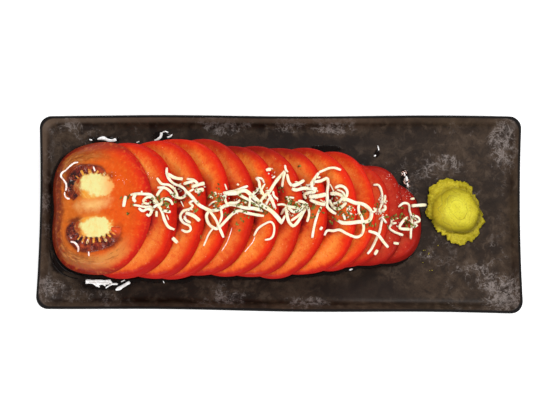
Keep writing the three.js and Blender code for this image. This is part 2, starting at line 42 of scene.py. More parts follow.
print("frame loaded,", len(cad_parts), "nodes")


# small sums used all over

def clamp(value, low=0.0, high=1.0):
    return max(low, min(high, value))


def mix(a, b, share):
    return a + (b - a) * share


def smooth(low, high, value):  # from 0 at low to 1 at high, easing in and out
    t = clamp((value - low) / (high - low))
    return t * t * (3 - 2 * t)


def bump(angle, at, width):  # 1 at the angle, either side of zero, and nothing a few widths away
    return math.exp(-(((abs(angle) - at) / width) ** 2))


def rough(x, y, z, size, seed=0.0):  # smooth noise from about -1 to 1 with features of that size
    return noise.noise(Vector((x / size + seed, y / size - seed, z / size + 2 * seed)))


def srgb(red, green, blue):  # a colour as picked from 0 to 255, made linear
    def linear(value):
        share = value / 255
        return share / 12.92 if share <= 0.04045 else ((share + 0.055) / 1.055) ** 2.4
    return (linear(red), linear(green), linear(blue), 1.0)


# finishes are written as sums on the sockets of their nodes

class Value:
    # one socket of a finish, so that masks are written as plain sums
    def __init__(self, finish, socket):
        self.finish = finish
        self.socket = socket

    def maths(self, operation, *others):
        sockets = {0: self}
        for place, other in enumerate(others):
            sockets[place + 1] = other
        return self.finish.node("Math", {"operation": operation}, sockets)

    def __add__(self, other):
        return self.maths("ADD", other)

    __radd__ = __add__

    def __mul__(self, other):
        return self.maths("MULTIPLY", other)

    __rmul__ = __mul__

    def __sub__(self, other):
        return self.maths("SUBTRACT", other)

    def __rsub__(self, other):
        return self.finish.node("Math", {"operation": "SUBTRACT"}, {0: other, 1: self})

    def __truediv__(self, other):
        return self.maths("DIVIDE", other)

    def __pow__(self, other):
        return self.maths("POWER", other)

    def __abs__(self):
        return self.maths("ABSOLUTE")

    def least(self, other):
        return self.maths("MINIMUM", other)

    def most(self, other):
        return self.maths("MAXIMUM", other)

    def ramp(self, low, high, start=0.0, end=1.0):  # low and high may be the wrong way round
        return self.finish.node(
            "MapRange",
            {"interpolation_type": "SMOOTHSTEP"},
            {0: self, 1: low, 2: high, 3: start, 4: end},
        )

    def colours(self, *stops):
        return self.finish.node("ValToRGB", {"stops": stops}, {0: self})


class Finish:
    # a material and the one way of adding nodes to it
    def __init__(self, name, **constants):
        self.material = bpy.data.materials.new(name)
        self.material.use_nodes = True
        self.tree = self.material.node_tree
        self.shader = self.tree.nodes["Principled BSDF"]
        for socket, value in constants.items():
            self.shader.inputs[socket.replace("_", " ")].default_value = value
        self.place = self.node("TexCoord", out=3)

    def node(self, kind, settings=None, sockets=None, out=0):
        made = self.tree.nodes.new("ShaderNode" + kind)
        for name, value in (settings or {}).items():
            if name == "stops":
                elements = made.color_ramp.elements
                while len(elements) < len(value):
                    elements.new(1.0)
                for element, (position, colour) in zip(elements, value):
                    element.position = position
                    element.color = colour
            else:
                setattr(made, name, value)
        for name, value in (sockets or {}).items():
            self.feed(made.inputs[name], value)
        return Value(self, made.outputs[out])

    def feed(self, socket, value):
        if isinstance(value, Value):
            self.tree.links.new(value.socket, socket)
        else:
            socket.default_value = value

    def noise(self, size, detail=3.0, roughness=0.55, distortion=0.0, place=None, out=0):
        # features of about that size in millimetres, from 0 to 1; out 1 gives three at once
        scale = 1 / (size * mm)
        sockets = {"Vector": place or self.place, "Scale": scale, "Detail": detail,
                   "Roughness": roughness, "Distortion": distortion}
        return self.node("TexNoise", None, sockets, out)

    def cells(self, size, feature="F1", place=None):
        sockets = {"Vector": place or self.place, "Scale": 1 / (size * mm)}
        return self.node("TexVoronoi", {"feature": feature}, sockets)

    def attribute(self, name, out=2):  # 2 for a number, 1 for a vector
        return self.node("Attribute", {"attribute_name": name}, out=out)

    def spot(self, x, y, halfX, halfY, turn=0.0, uneven=0.5, soft=0.35):
        # a soft oval seen from above, in millimetres, 1 inside and 0 outside
        along, across = self.axis(0) * (1 / mm) - x, self.axis(1) * (1 / mm) - y
        cosine, sine = math.cos(math.radians(turn)), math.sin(math.radians(turn))
        first = (along * cosine + across * sine) / halfX
        second = (across * cosine - along * sine) / halfY
        reach = (first * first + second * second) ** 0.5
        ragged = uneven * (self.noise(3.5, 4, 0.6) - 0.5) * 2
        return (reach + ragged).ramp(1 + soft, 1 - soft)

    def axis(self, index):
        return self.node("SeparateXYZ", None, {0: self.place}, out=index)

    def blend(self, share, first, second, kind="MIX"):
        settings = {"data_type": "RGBA", "blend_type": kind}
        return self.node("Mix", settings, {0: share, 6: first, 7: second}, out=2)

    def drive(self, socket, value):
        self.feed(self.shader.inputs[socket], value)

    def colour(self, value):
        self.drive("Base Color", value)

    def relief(self, height, depth, strength=1.0):  # depth in millimetres for a height of 1
        sockets = {"Height": height, "Distance": depth * mm, "Strength": strength}
        self.drive("Normal", self.node("Bump", None, sockets))


# what every piece goes through

def layer(bm, name):  # a number kept with each vertex, which the finish reads
    return bm.verts.layers.float.new(name)


def finishPiece(bm, name, finish, nodes=(), recalculate=True):
    if recalculate:
        bmesh.ops.recalc_face_normals(bm, faces=bm.faces)
    bmesh.ops.scale(bm, vec=(mm, mm, mm), verts=bm.verts)
    mesh = bpy.data.meshes.new(name)
    bm.to_mesh(mesh)
    bm.free()
    mesh.polygons.foreach_set("use_smooth", [True] * len(mesh.polygons))
    mesh.materials.append(finish.material)
    piece = bpy.data.objects.new(name, mesh)
    bpy.context.scene.collection.objects.link(piece)
    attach(piece, "root")
    if nodes:
        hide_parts(*nodes)
    return piece


def spun(profile, steps):  # a closed round body from points of (share of the radius, height)
    bm = bmesh.new()
    points = [bm.verts.new((share, 0, height)) for share, height in profile]
    edges = [bm.edges.new(pair) for pair in zip(points, points[1:])]
    bmesh.ops.spin(bm, geom=points + edges, cent=(0, 0, 0), axis=(0, 0, 1), dvec=(0, 0, 0),
                   angle=2 * math.pi, steps=steps, use_merge=True)
    bmesh.ops.remove_doubles(bm, verts=bm.verts, dist=1e-5)
    bmesh.ops.recalc_face_normals(bm, faces=bm.faces)
    return bm


view = {
    "aim": (0, 1.4, 14.2),  # the middle of the picture
    "distance": 920,
    "elevation": 84,  # degrees above the horizon
    "lens": 107.75,
    "roll": 0.34,  # degrees
}


def makeCamera():
    aim = Vector(view["aim"])
    lift = math.radians(view["elevation"])
    eye = aim + view["distance"] * Vector((0, -math.cos(lift), math.sin(lift)))
    camera = bpy.data.objects.new("camera", bpy.data.cameras.new("camera"))
    camera.data.lens = view["lens"]
    camera.data.clip_start = 0.02
    camera.location = eye * mm
    turn = (aim - eye).to_track_quat("-Z", "Y") @ Quaternion((0, 0, 1), math.radians(view["roll"]))
    camera.rotation_euler = turn.to_euler()
    bpy.context.scene.collection.objects.link(camera)
    bpy.context.scene.camera = camera


makeCamera()
print("camera placed")


# the plate is a grid put to its outline, then extruded over the lip and down to the foot
plate = {
    "halfLength": 133.4,
    "halfWidth": 53.9,
    "cornerRadius": 7,
    "waist": 1.5,  # how far the short ends bow inwards
    "taper": 0.6,  # half width that the mustard end gains and the other end loses
    "wobble": 0.35,  # how far the long edges wander
    "height": 14,
    "lipWidth": 1.7,
    "lipRound": 0.9,
    "rimSlope": 4.2,
    "wellHeight": 8.7,
    "wellRound": 1.1,
    "bellyInset": 3.4,
    "bellyHeight": 6.4,
    "footInset": 15,
    "footWidth": 4.5,
    "footHeight": 2.4,
    "footRound": 0.6,
    "columns": 96,
    "rows": 40,
    "cornerCells": 5,  # cells of each side that go round a corner
    "curveSteps": 3,  # steps between two points of the profile
    "curveReach": 0.5,  # most that a bend of the profile reaches
    "curveShare": 0.4,
    "unevenness": 0.12,
    "waveSize": 23,
    "rippleSize": 8,
    "sideways": 0.0016,  # share of the unevenness that goes into the outline
}
# where the glaze is cloudy, or darker where the share is below zero:
# middle and half sizes in millimetres, and the share
cloudyPlaces = [
    (-35, 50, 12, 7, 0.9), (5, 51, 9, 5, 0.6), (30, 50, 9, 6, 1.1), (123, 41, 6, 12, 0.7),
    (93, 29, 7, 4, 0.4), (123, -44, 9, 8, 1.2), (109, -31, 9, 5, 0.4), (-30, -47, 9, 4, 0.7),
    (17, -48, 13, 4, 0.8), (-128, -43, 12, 6, 0.5), (-117, 49, 8, 5, 0.4), (-93, -46, 18, 4, 0.3),
    (81, 25, 8, 6, 0.35), (80, -22, 5, 3, 0.3), (95, -23, 5, 3, 0.3), (-131, 6, 4, 24, 0.35),
    (42, -43, 34, 6, -0.9), (20, 40, 50, 4, -0.8), (-68, -44, 20, 5, -0.5), (-45, 44, 6, 5, -0.7),
]


def plateOutline(u, v, inset):  # a place on the edge of the square from -1 to 1, put on the rim
    length = plate["halfLength"] - inset
    width = plate["halfWidth"] - inset
    radius = plate["cornerRadius"]
    if abs(v) >= abs(u):
        share, cells, mainReach, sideReach = abs(u), plate["columns"], width, length
    else:
        share, cells, mainReach, sideReach = abs(v), plate["rows"], length, width
    straight = 1 - 2 * plate["cornerCells"] / cells
    turn = clamp((share - straight) / (1 - straight)) * math.pi / 4
    side = (sideReach - radius) * min(1, share / straight) + radius * math.sin(turn)
    main = mainReach - radius + radius * math.cos(turn)
    x, y = (side, main) if abs(v) >= abs(u) else (main, side)
    x, y = math.copysign(x, u), math.copysign(y, v)
    middle = max(0, 1 - (y / plate["halfWidth"]) ** 2)
    x -= math.copysign(plate["waist"], x) * middle * abs(x / plate["halfLength"]) ** 6
    y *= 1 + plate["taper"] * x / plate["halfLength"] / plate["halfWidth"]
    swing = plate["wobble"] * math.sin(0.043 * x + 1.1) * math.cos(0.06 * y)
    return x, y + swing * (abs(y) / plate["halfWidth"]) ** 4


def plateProfile():  # from the well outwards, over the lip and down to the foot
    height, well, lip = plate["height"], plate["wellHeight"], plate["lipRound"]
    soft, foot, footInset = plate["wellRound"], plate["footRound"], plate["footInset"]
    wellEdge = plate["lipWidth"] + plate["rimSlope"]
    footInner = footInset + plate["footWidth"]
    points = [
        (wellEdge + 5 * soft, well),
        (wellEdge + soft, well + 0.2 * soft),
        (wellEdge - 0.7 * soft, well + soft),
        (plate["lipWidth"], height - 0.5 * lip),
        (lip, height),
        (0.4 * lip, height - 0.2 * lip),
        (0, height - lip),
        (0.15 * lip, height - 2 * lip),
        (plate["bellyInset"], plate["bellyHeight"]),
        (footInset - foot, plate["footHeight"]),
        (footInset, foot),
        (footInset + foot, 0),
        (footInner - foot, 0),
        (footInner, foot),
        (footInner + foot, plate["footHeight"]),
        (footInner + 2 * plate["footWidth"], plate["footHeight"]),
    ]
    path = [Vector((*point, 0)) for point in points]
    fine = [path[0]]
    for i in range(len(path) - 1):
        before, after = path[max(0, i - 1)], path[min(len(path) - 1, i + 2)]
        span = (path[i + 1] - path[i]).length
        reach = min(plate["curveReach"], plate["curveShare"] * span)
        leave = (path[i + 1] - before).normalized() * reach
        arrive = (after - path[i]).normalized() * reach
        start, end = path[i] + leave, path[i + 1] - arrive
        for step in range(1, plate["curveSteps"] + 1):
            t = step / plate["curveSteps"]
            fine.append((1 - t) ** 3 * path[i] + 3 * t * (1 - t) ** 2 * start
                        + 3 * t * t * (1 - t) * end + t ** 3 * path[i + 1])
    return [(point.x, max(0, point.y)) for point in fine]


def makePlate(finish):
    bm = bmesh.new()
    bmesh.ops.create_grid(bm, x_segments=plate["columns"], y_segments=plate["rows"], size=1)
    fromEdge, cloudy = layer(bm, "fromEdge"), layer(bm, "cloudy")
    profile = plateProfile()
    home = {vert: (vert.co.x, vert.co.y) for vert in bm.verts}
    for vert in bm.verts:
        u, v = home[vert]
        share = max(abs(u), abs(v))
        x, y = plateOutline(u / share, v / share, profile[0][0]) if share > 1e-6 else (0, 0)
        vert.co = (x * share, y * share, profile[0][1])
        vert[fromEdge] = profile[0][0] + (1 - share) * plate["halfWidth"]
    edges = [edge for edge in bm.edges if edge.is_boundary]
    for inset, z in profile[1:]:
        made = bmesh.ops.extrude_edge_only(bm, edges=edges)["geom"]
        ring = [item for item in made if isinstance(item, bmesh.types.BMVert)]
        edges = [item for item in made if isinstance(item, bmesh.types.BMEdge) and item.is_boundary]
        below = {vert: next(edge.other_vert(vert) for edge in vert.link_edges
                            if edge.other_vert(vert) in home) for vert in ring}
        for vert in ring:
            home[vert] = home[below[vert]]
            x, y = plateOutline(*home[vert], inset)
            vert.co = (x, y, z)
            vert[fromEdge] = inset
    bmesh.ops.holes_fill(bm, edges=edges, sides=0)
    for vert in bm.verts:
        x, y, z = vert.co
        if z > plate["footHeight"]:
            wave = rough(x, y, z, plate["waveSize"]) + 0.5 * rough(x, y, z, plate["rippleSize"], 3.1)
            inward = 1 - plate["sideways"] * plate["unevenness"] * (1 + wave)
            vert.co = (x * inward, y * inward, z + plate["unevenness"] * wave * smooth(2.4, 5, z))
        vert[cloudy] = sum(share * math.exp(-((x - midX) / halfX) ** 2 - ((y - midY) / halfY) ** 2)
                           for midX, midY, halfX, halfY, share in cloudyPlaces)
    return finishPiece(bm, "stonewarePlate", finish, ["plate"])


def glazeFinish():
    finish = Finish("mottledGlaze", Roughness=0.42, IOR=1.4, Specular_IOR_Level=0.3)
    fromEdge, cloudy = finish.attribute("fromEdge"), finish.attribute("cloudy")
    along, across, up = (finish.axis(index) for index in range(3))
    drift = finish.noise(15, 5, 0.6, 0.5)
    smoke = finish.noise(3.2, 6, 0.72, 0.3)
    wisps = finish.noise(9, 6, 0.66, 0.6)
    speck = finish.noise(1.0, 3, 0.6)
    bend = finish.noise(7, 4, 0.6, out=1)
    sockets = {0: bend, 1: (0.012,) * 3, 2: finish.place}
    bent = finish.node("VectorMath", {"operation": "MULTIPLY_ADD"}, sockets)
    cracks = finish.cells(6.5, "DISTANCE_TO_EDGE", bent).ramp(0.0, 0.07, 1.0, 0.0)
    hairs = abs(finish.noise(8, 6, 0.68, 0.4) - 0.5).ramp(0.0, 0.03, 1.0, 0.0)
    patches = finish.noise(5.5, 5, 0.62, 0.5)
    body = finish.blend(drift.ramp(0.4, 0.62), srgb(31, 18, 10), srgb(60, 45, 33))
    body = finish.blend(along.ramp(0.03, 0.10, 0.0, 0.25), body, srgb(62, 48, 36))
    body = finish.blend(patches.ramp(0.5, 0.7, 0.0, 0.6), body, srgb(84, 68, 55))
    body = finish.blend(patches.ramp(0.5, 0.3, 0.0, 0.7), body, srgb(26, 15, 8))
    body = finish.blend(cloudy.ramp(-0.05, -0.7, 0.0, 0.75), body, srgb(28, 15, 9))
    veil = (cloudy + 1.2 * (wisps - 0.5)).ramp(0.1, 0.8) * smoke.ramp(0.4, 0.62)
    lines = cracks.most(hairs) * (cloudy + 1.3 * wisps - 0.66).ramp(0.0, 0.4) * smoke.ramp(0.34, 0.56)
    pale = (0.55 * veil + 0.95 * lines).least(0.85)
    body = finish.blend(pale, body, srgb(134, 123, 118))
    body = finish.blend(speck.ramp(0.5, 0.75, 0.0, 0.6), body, srgb(28, 18, 13))
    slope = fromEdge.ramp(1.3, 1.8) * fromEdge.ramp(2.8, 4.6, 1.0, 0.0) * along.ramp(0.03, 0.07, 1.0, 0.4)
    body = finish.blend(slope * (across.ramp(0.0, 0.04, 0.0, 0.45) + 0.5 * smoke), body, srgb(102, 84, 70))
    # painted shade: the outer edge of the lip and the outer wall below it are made near black
    rim = fromEdge.ramp(1.7, 1.1)
    body = finish.blend(rim.most(up.ramp(0.0075, 0.0083, 1.0, 0.0)), body, srgb(12, 8, 7))
    bare = up.ramp(0.0006, 0.0012, 1.0, 0.0)
    body = finish.blend(bare, body, srgb(112, 92, 76))
    finish.colour(body)
    finish.drive("Roughness", 0.36 + 0.2 * smoke + 0.3 * bare.most(rim))
    finish.relief(0.5 * finish.noise(5, 4, 0.55) + 0.3 * smoke + 0.2 * speck, 0.2)
    return finish


platePiece = makePlate(glazeFinish())
print("plate made")


# the slices lean on one another, and bend down flat towards the mustard
fan = {
    "tilt": math.radians(25),
    "gap": 0.35,  # between one slice and the next
    "stand": 0.3,  # above the plate
    "bendStart": 37,  # place along the plate from which the slices bend down
    "bendRadius": 38,
    "leftEdge": -126.2,
    "outlinePower": 2.16,  # 2 is an oval, and more is squarer
    "firstPower": 2.9,  # the same for the left side of the first slice
    "skinBulge": 0.45,
    "lobe": 0.012,
    "lobeTurn": 1.7,  # how far the lobes turn from slice to slice
    "furrow": 0.035,  # dent in the left side of the first slice
    "furrowAngle": 0.25,
}

# each slice from the left: right end of its lower face, half width, middle across the plate, thickness,
# shrink of the upper face, redness from 0 to 1, and how strongly the dark skin shows on the far side
sliceParts = ("right", "halfWidth", "middle", "thickness", "shrink", "red", "far")
sliceSizes = [
    (-69.0, 36.3, 0.9, 5.4, 3.6, 0.3, 0.0),
    (-54.8, 37.1, -0.7, 5.5, 1.5, 0.2, 0.05),
    (-39.4, 37.4, 0.1, 5.6, 0.9, 0.2, 0.1),
    (-26.8, 38.0, 1.2, 5.2, 0.4, 0.12, 0.15),
    (-13.7, 36.9, 1.2, 5.9, 0.2, 0.3, 0.5),
    (0.0, 35.1, -0.6, 5.9, 0.0, 0.1, 1.0),
    (12.4, 35.1, -0.5, 5.2, -0.2, 0.3, 0.9),
    (25.3, 35.0, -0.9, 5.8, -0.3, 0.2, 0.9),
    (41.4, 33.9, -0.7, 6.2, -0.3, 0.1, 0.7),
    (51.4, 32.2, -0.1, 5.8, 0.2, 0.2, 0.4),
    (59.4, 28.6, -1.4, 5.2, 0.5, 0.55, 0.5),
    (66.8, 27.3, -1.7, 4.4, 0.8, 0.9, 0.9),
    (77.8, 22.6, -5.3, 5.4, 2.0, 0.92, 0.2),
]
sliceRows = [dict(zip(sliceParts, sizes)) for sizes in sliceSizes]
sliceRows[11]["power"] = 2.9  # this slice is squarer than the others
bendEnd = fan["bendStart"] + fan["bendRadius"] * math.sin(fan["tilt"])


# the lower faces follow one line, straight at first and then round the bend
def lineHeight(x):
    radius, tilt = fan["bendRadius"], fan["tilt"]
    if x <= fan["bendStart"]:
        return (x - fan["bendStart"]) * math.tan(tilt)
    if x >= bendEnd:
        return radius * (1 - math.cos(tilt))
    return math.sqrt(radius ** 2 - (bendEnd - x) ** 2) - radius * math.cos(tilt)


def lineAngle(x):
    if x <= fan["bendStart"]:
        return fan["tilt"]
    return 0 if x >= bendEnd else math.asin((bendEnd - x) / fan["bendRadius"])


def lineLength(x):
    if x <= fan["bendStart"]:
        return (x - fan["bendStart"]) / math.cos(fan["tilt"])
    if x >= bendEnd:
        return fan["bendRadius"] * fan["tilt"] + x - bendEnd
    return fan["bendRadius"] * (fan["tilt"] - lineAngle(x))


def lineX(length):
    arc = fan["bendRadius"] * fan["tilt"]
    if length <= 0:
        return fan["bendStart"] + length * math.cos(fan["tilt"])
    if length >= arc:
        return bendEnd + length - arc
    return bendEnd - fan["bendRadius"] * math.sin(fan["tilt"] - length / fan["bendRadius"])


left = fan["leftEdge"]
for index, row in enumerate(sliceRows):
    if index:
        left += (row["thickness"] + fan["gap"]) / math.sin(fan["tilt"])
    row["index"] = index
    row["left"] = left
    row["halfLength"] = (lineLength(row["right"]) - lineLength(left)) / 2


def edgeFactor(row, angle):  # reach of the outline at that angle, 1 for a plain oval
    standing = max(0, -math.cos(angle)) if row["index"] == 0 else 0
    power = mix(row.get("power", fan["outlinePower"]), fan["firstPower"], standing)
    square = (abs(math.cos(angle)) ** power + abs(math.sin(angle)) ** power) ** (-1 / power)
    phase = fan["lobeTurn"] * row["index"]
    lobes = math.cos(3 * angle + phase) + 0.7 * math.cos(5 * angle - 2 * phase)
    furrow = fan["furrow"] * bump(angle, math.pi, fan["furrowAngle"]) if row["index"] == 0 else 0
    return square * (1 + fan["lobe"] * lobes - furrow)


def slicePoint(row, along, across, up):  # a place in the slice's own frame, put into the fan
    x = lineX(lineLength(row["left"]) + row["halfLength"] + along)
    angle = lineAngle(x)
    z = plate["wellHeight"] + fan["stand"] + lineHeight(x) - lineHeight(row["left"])
    return Vector((x - up * math.sin(angle), row["middle"] + across, z + up * math.cos(angle)))


# the two seed chambers of the first slice, crescents of jelly round a pale core
# gold fingers reach out from the core: their share of the way round, their half width and their length
chambers = [
    {
        "node": "seed_jelly_far",
        "core": (-2.8, 11.6, 11.2, 6.6),  # middle along and across the slice, half length, half width
        "start": 46,  # degrees round the core
        "end": 222,
        "depth": (1.6, 6.6, 4.0),  # of the jelly where it starts, in its middle and where it ends
        "fingers": 11,
        "tongues": ((0.03, 0.06), (0.16, 0.022), (0.285, 0.045), (0.41, 0.034), (0.52, 0.018)),
        "tongueLength": 4.6,
        "seeds": (0.34, 0.6, 0.78),
        "brightSeeds": ((0.03, 1.4),),  # share of the way round, distance from the core
    },
    {
        "node": "seed_jelly_near",
        "core": (-1.6, -10.4, 11.4, 5.4),
        "start": 160,
        "end": 354,
        "depth": (2.4, 8.2, 6.4),
        "fingers": 12,
        "tongues": ((0.36, 0.018), (0.43, 0.022), (0.5, 0.024), (0.578, 0.026), (0.657, 0.024),
                    (0.735, 0.03), (0.815, 0.026), (0.885, 0.026), (0.946, 0.024)),
        "tongueLength": 4.8,
        "seeds": (0.24, 0.4, 0.56, 0.69, 0.82),
        "brightSeeds": ((0.735, 3.4), (0.5, 2.9)),
    },
]
jelly = {
    "fingerDepth": 1.1,
    "fingerSwing": 0.4,  # how much the fingers differ in length
    "fingerWaves": 9,
    "unevenness": 0.4,  # of the outer wall
    "wallWaves": 17,
    "coreSkin": 0.4,
    "sunk": 0.5,  # how far its top lies below the cut face
    "pitDepth": 3.6,
    "columns": 150,
    "rows": 20,
    "overlap": 0.12,  # how far it reaches into the walls
    "low": 0.25,  # how much lower it lies between the things that lift it
    "climb": 0.2,  # rise towards its walls
    "lumps": 0.22,
    "lumpSize": 3.6,
    "grain": 0.08,
    "grainSize": 1.6,
    "overSeed": 0.5,  # rise over a seed in the wall
    "overSeedReach": 2.2,
    "fingerRise": 0.3,
    "depth": 3.0,
}


def jellyReach(chamber, share):  # from where to where the jelly goes, as distances from the core
    bow = math.sin(math.pi * clamp(share))
    start, middle, end = chamber["depth"]
    outer = mix(mix(start, end, share), middle, bow)
    outer += jelly["unevenness"] * math.sin(jelly["wallWaves"] * share)
    swing = 1 - jelly["fingerSwing"] * (1 - math.sin(jelly["fingerWaves"] * share))
    size = jelly["fingerDepth"] * min(1, 1.6 * bow) * swing
    inner = jelly["coreSkin"] + size * (1 + math.cos(2 * math.pi * chamber["fingers"] * share))
    return inner, outer


def roundCore(chamber, share, distance):
    along, across, halfLength, halfWidth = chamber["core"]
    angle = math.radians(mix(chamber["start"], chamber["end"], share))
    return (along + (halfLength + distance) * math.cos(angle),
            across + (halfWidth + distance) * math.sin(angle))


def coreDistance(chamber, along, across):  # distance outside the core, and share of the way round
    middleAlong, middleAcross, halfLength, halfWidth = chamber["core"]
    dx, dy = along - middleAlong, across - middleAcross
    low, high = 0.1 - halfWidth, 40.0
    for _ in range(14):
        distance = (low + high) / 2
        if (dx / (halfLength + distance)) ** 2 + (dy / (halfWidth + distance)) ** 2 > 1:
            low = distance
        else:
            high = distance
    angle = math.degrees(math.atan2(dy / (halfWidth + distance), dx / (halfLength + distance))) % 360
    return distance, (angle - chamber["start"]) / (chamber["end"] - chamber["start"])


def goldShare(chamber, share, reach):  # 1 on a gold finger that reaches out from the core
    slimmer = 1 - 0.4 * clamp(reach / 6)
    best = max(1 - abs(share - at) / (width * slimmer) for at, width in chamber["tongues"])
    length = chamber["tongueLength"] * (0.85 + 0.5 * rough(share * 40, 5, 0, 3, 8.0))
    return smooth(0, 0.6, best) * (1 - smooth(0.55, 1, reach / length))


def jellyDistance(chamber, along, across):
    # how far inside the jelly, how far outside the core, 1 beside the jelly, and 1 on a finger
    distance, share = coreDistance(chamber, along, across)
    inner, outer = jellyReach(chamber, share)
    arc = math.radians(chamber["end"] - chamber["start"]) * (chamber["core"][2] + max(0, distance))
    ends = min(share, 1 - share) * arc
    beside = smooth(0, 0.05, min(share, 1 - share)) * smooth(-0.5, 0.3, distance) * (distance < outer)
    inside = min(distance - inner, outer - distance, ends)
    return inside, distance, beside, goldShare(chamber, share, distance)


cutFace = {
    "steps": 144,
    "rings": 30,
    "crowding": 1.25,  # more than 1 sets the rings closer at the rim
    "firstSteps": 300,
    "firstRings": 84,
    "under": (0, 0.3, 0.6, 0.8, 0.9, 0.96, 0.99),  # shares of the radius across the lower face
    "skin": (0, 0.03, 0.1, 0.22, 0.36, 0.5, 0.64, 0.78, 0.9, 0.97),  # shares of the thickness
    "wave": 0.10,  # relief of the cut
    "waveSize": 7,
    "grain": 0.04,
    "grainSize": 1.3,
    "lipRound": 0.7,
    "lipWidth": 2.4,
    "shoulder": 1.0,  # the first slice's face rounds off towards its skin
    "shoulderWidth": 9,
    "coreRise": 0.35,
    "farAway": 9.0,  # distance noted where no chamber is near
    "fibreRing": 35,  # radius on which the fibres are drawn, in millimetres of pattern
    "fibreInwards": 0.25,
    "fibreApart": 9,  # from slice to slice
}


def slicePiece(row, finish):
    first = row["index"] == 0
    rings = cutFace["firstRings"] if first else cutFace["rings"]
    steps = cutFace["firstSteps"] if first else cutFace["steps"]
    shares = [i / rings for i in range(rings + 1)]
    if not first:
        shares = [1 - (1 - share) ** cutFace["crowding"] for share in shares]
    profile = [(share, 0) for share in cutFace["under"]]
    profile += [(1, level) for level in cutFace["skin"]]
    profile += [(share, 1) for share in reversed(shares)]
    bm = spun(profile, steps)
    edgeGap, pit, core, between, finger = (
        layer(bm, name) for name in ("edgeGap", "pit", "core", "between", "finger"))
    ring = bm.verts.layers.float_vector.new("ring")  # runs round the slice, so fibres point inwards
    for vert in bm.verts:
        share = math.hypot(vert.co.x, vert.co.y)
        angle = math.atan2(vert.co.y, vert.co.x)
        level = vert.co.z
        bulge = fan["skinBulge"] * (1 - abs(2 * level - 1) ** 1.8)
        edge = edgeFactor(row, angle)
        halfLength = row["halfLength"] - row["shrink"] * level + bulge
        halfWidth = row["halfWidth"] - row["shrink"] * level + bulge
        along = share * edge * math.cos(angle) * halfLength
        across = share * edge * math.sin(angle) * halfWidth
        radius = math.hypot(edge * math.cos(angle) * halfLength, edge * math.sin(angle) * halfWidth)
        gap = (1 - share) * radius
        rounding = cutFace["lipRound"] + (cutFace["shoulder"] if first else 0)
        up = level * (row["thickness"] - rounding)
        slant = math.hypot(row["thickness"], row["shrink"])
        vert[edgeGap] = gap if level > 0.999 else gap - (1 - level) * slant
        vert[pit] = vert[core] = -cutFace["farAway"]
        inwards = cutFace["fibreInwards"] * gap + cutFace["fibreApart"] * row["index"]
        fibreX, fibreY = cutFace["fibreRing"] * math.cos(angle), cutFace["fibreRing"] * math.sin(angle)
        vert[ring] = Vector((fibreX, fibreY, inwards)) * mm
        if level > 0.999:
            seed = 3.7 * row["index"]
            relief = cutFace["wave"] * rough(along, across, 0, cutFace["waveSize"], seed)
            relief += cutFace["grain"] * rough(along, across, 0, cutFace["grainSize"], seed)
            relief += rounding - cutFace["lipRound"] * (1 - clamp(gap / cutFace["lipWidth"])) ** 2
            if first:
                relief -= cutFace["shoulder"] * (1 - clamp(gap / cutFace["shoulderWidth"])) ** 3
                inside, nearest = -cutFace["farAway"], cutFace["farAway"]
                for chamber in chambers:
                    hole, distance, beside, gold = jellyDistance(chamber, along, across)
                    inside = max(inside, hole)
                    if distance < nearest:
                        nearest, vert[between], vert[finger] = distance, beside, gold
                vert[pit] = inside
                vert[core] = -nearest
                sunk = smooth(-0.25, 0.35, inside)
                relief -= jelly["pitDepth"] * sunk
                relief += cutFace["coreRise"] * smooth(-1.5, 2.5, -nearest) * (1 - sunk)
            up += relief
        vert.co = slicePoint(row, along, across, up)
    number = row["index"] + 1
    nodes = [f"tomato_slice_{number:02d}"]
    return finishPiece(bm, f"tomatoSlice{number:02d}", finish, nodes)


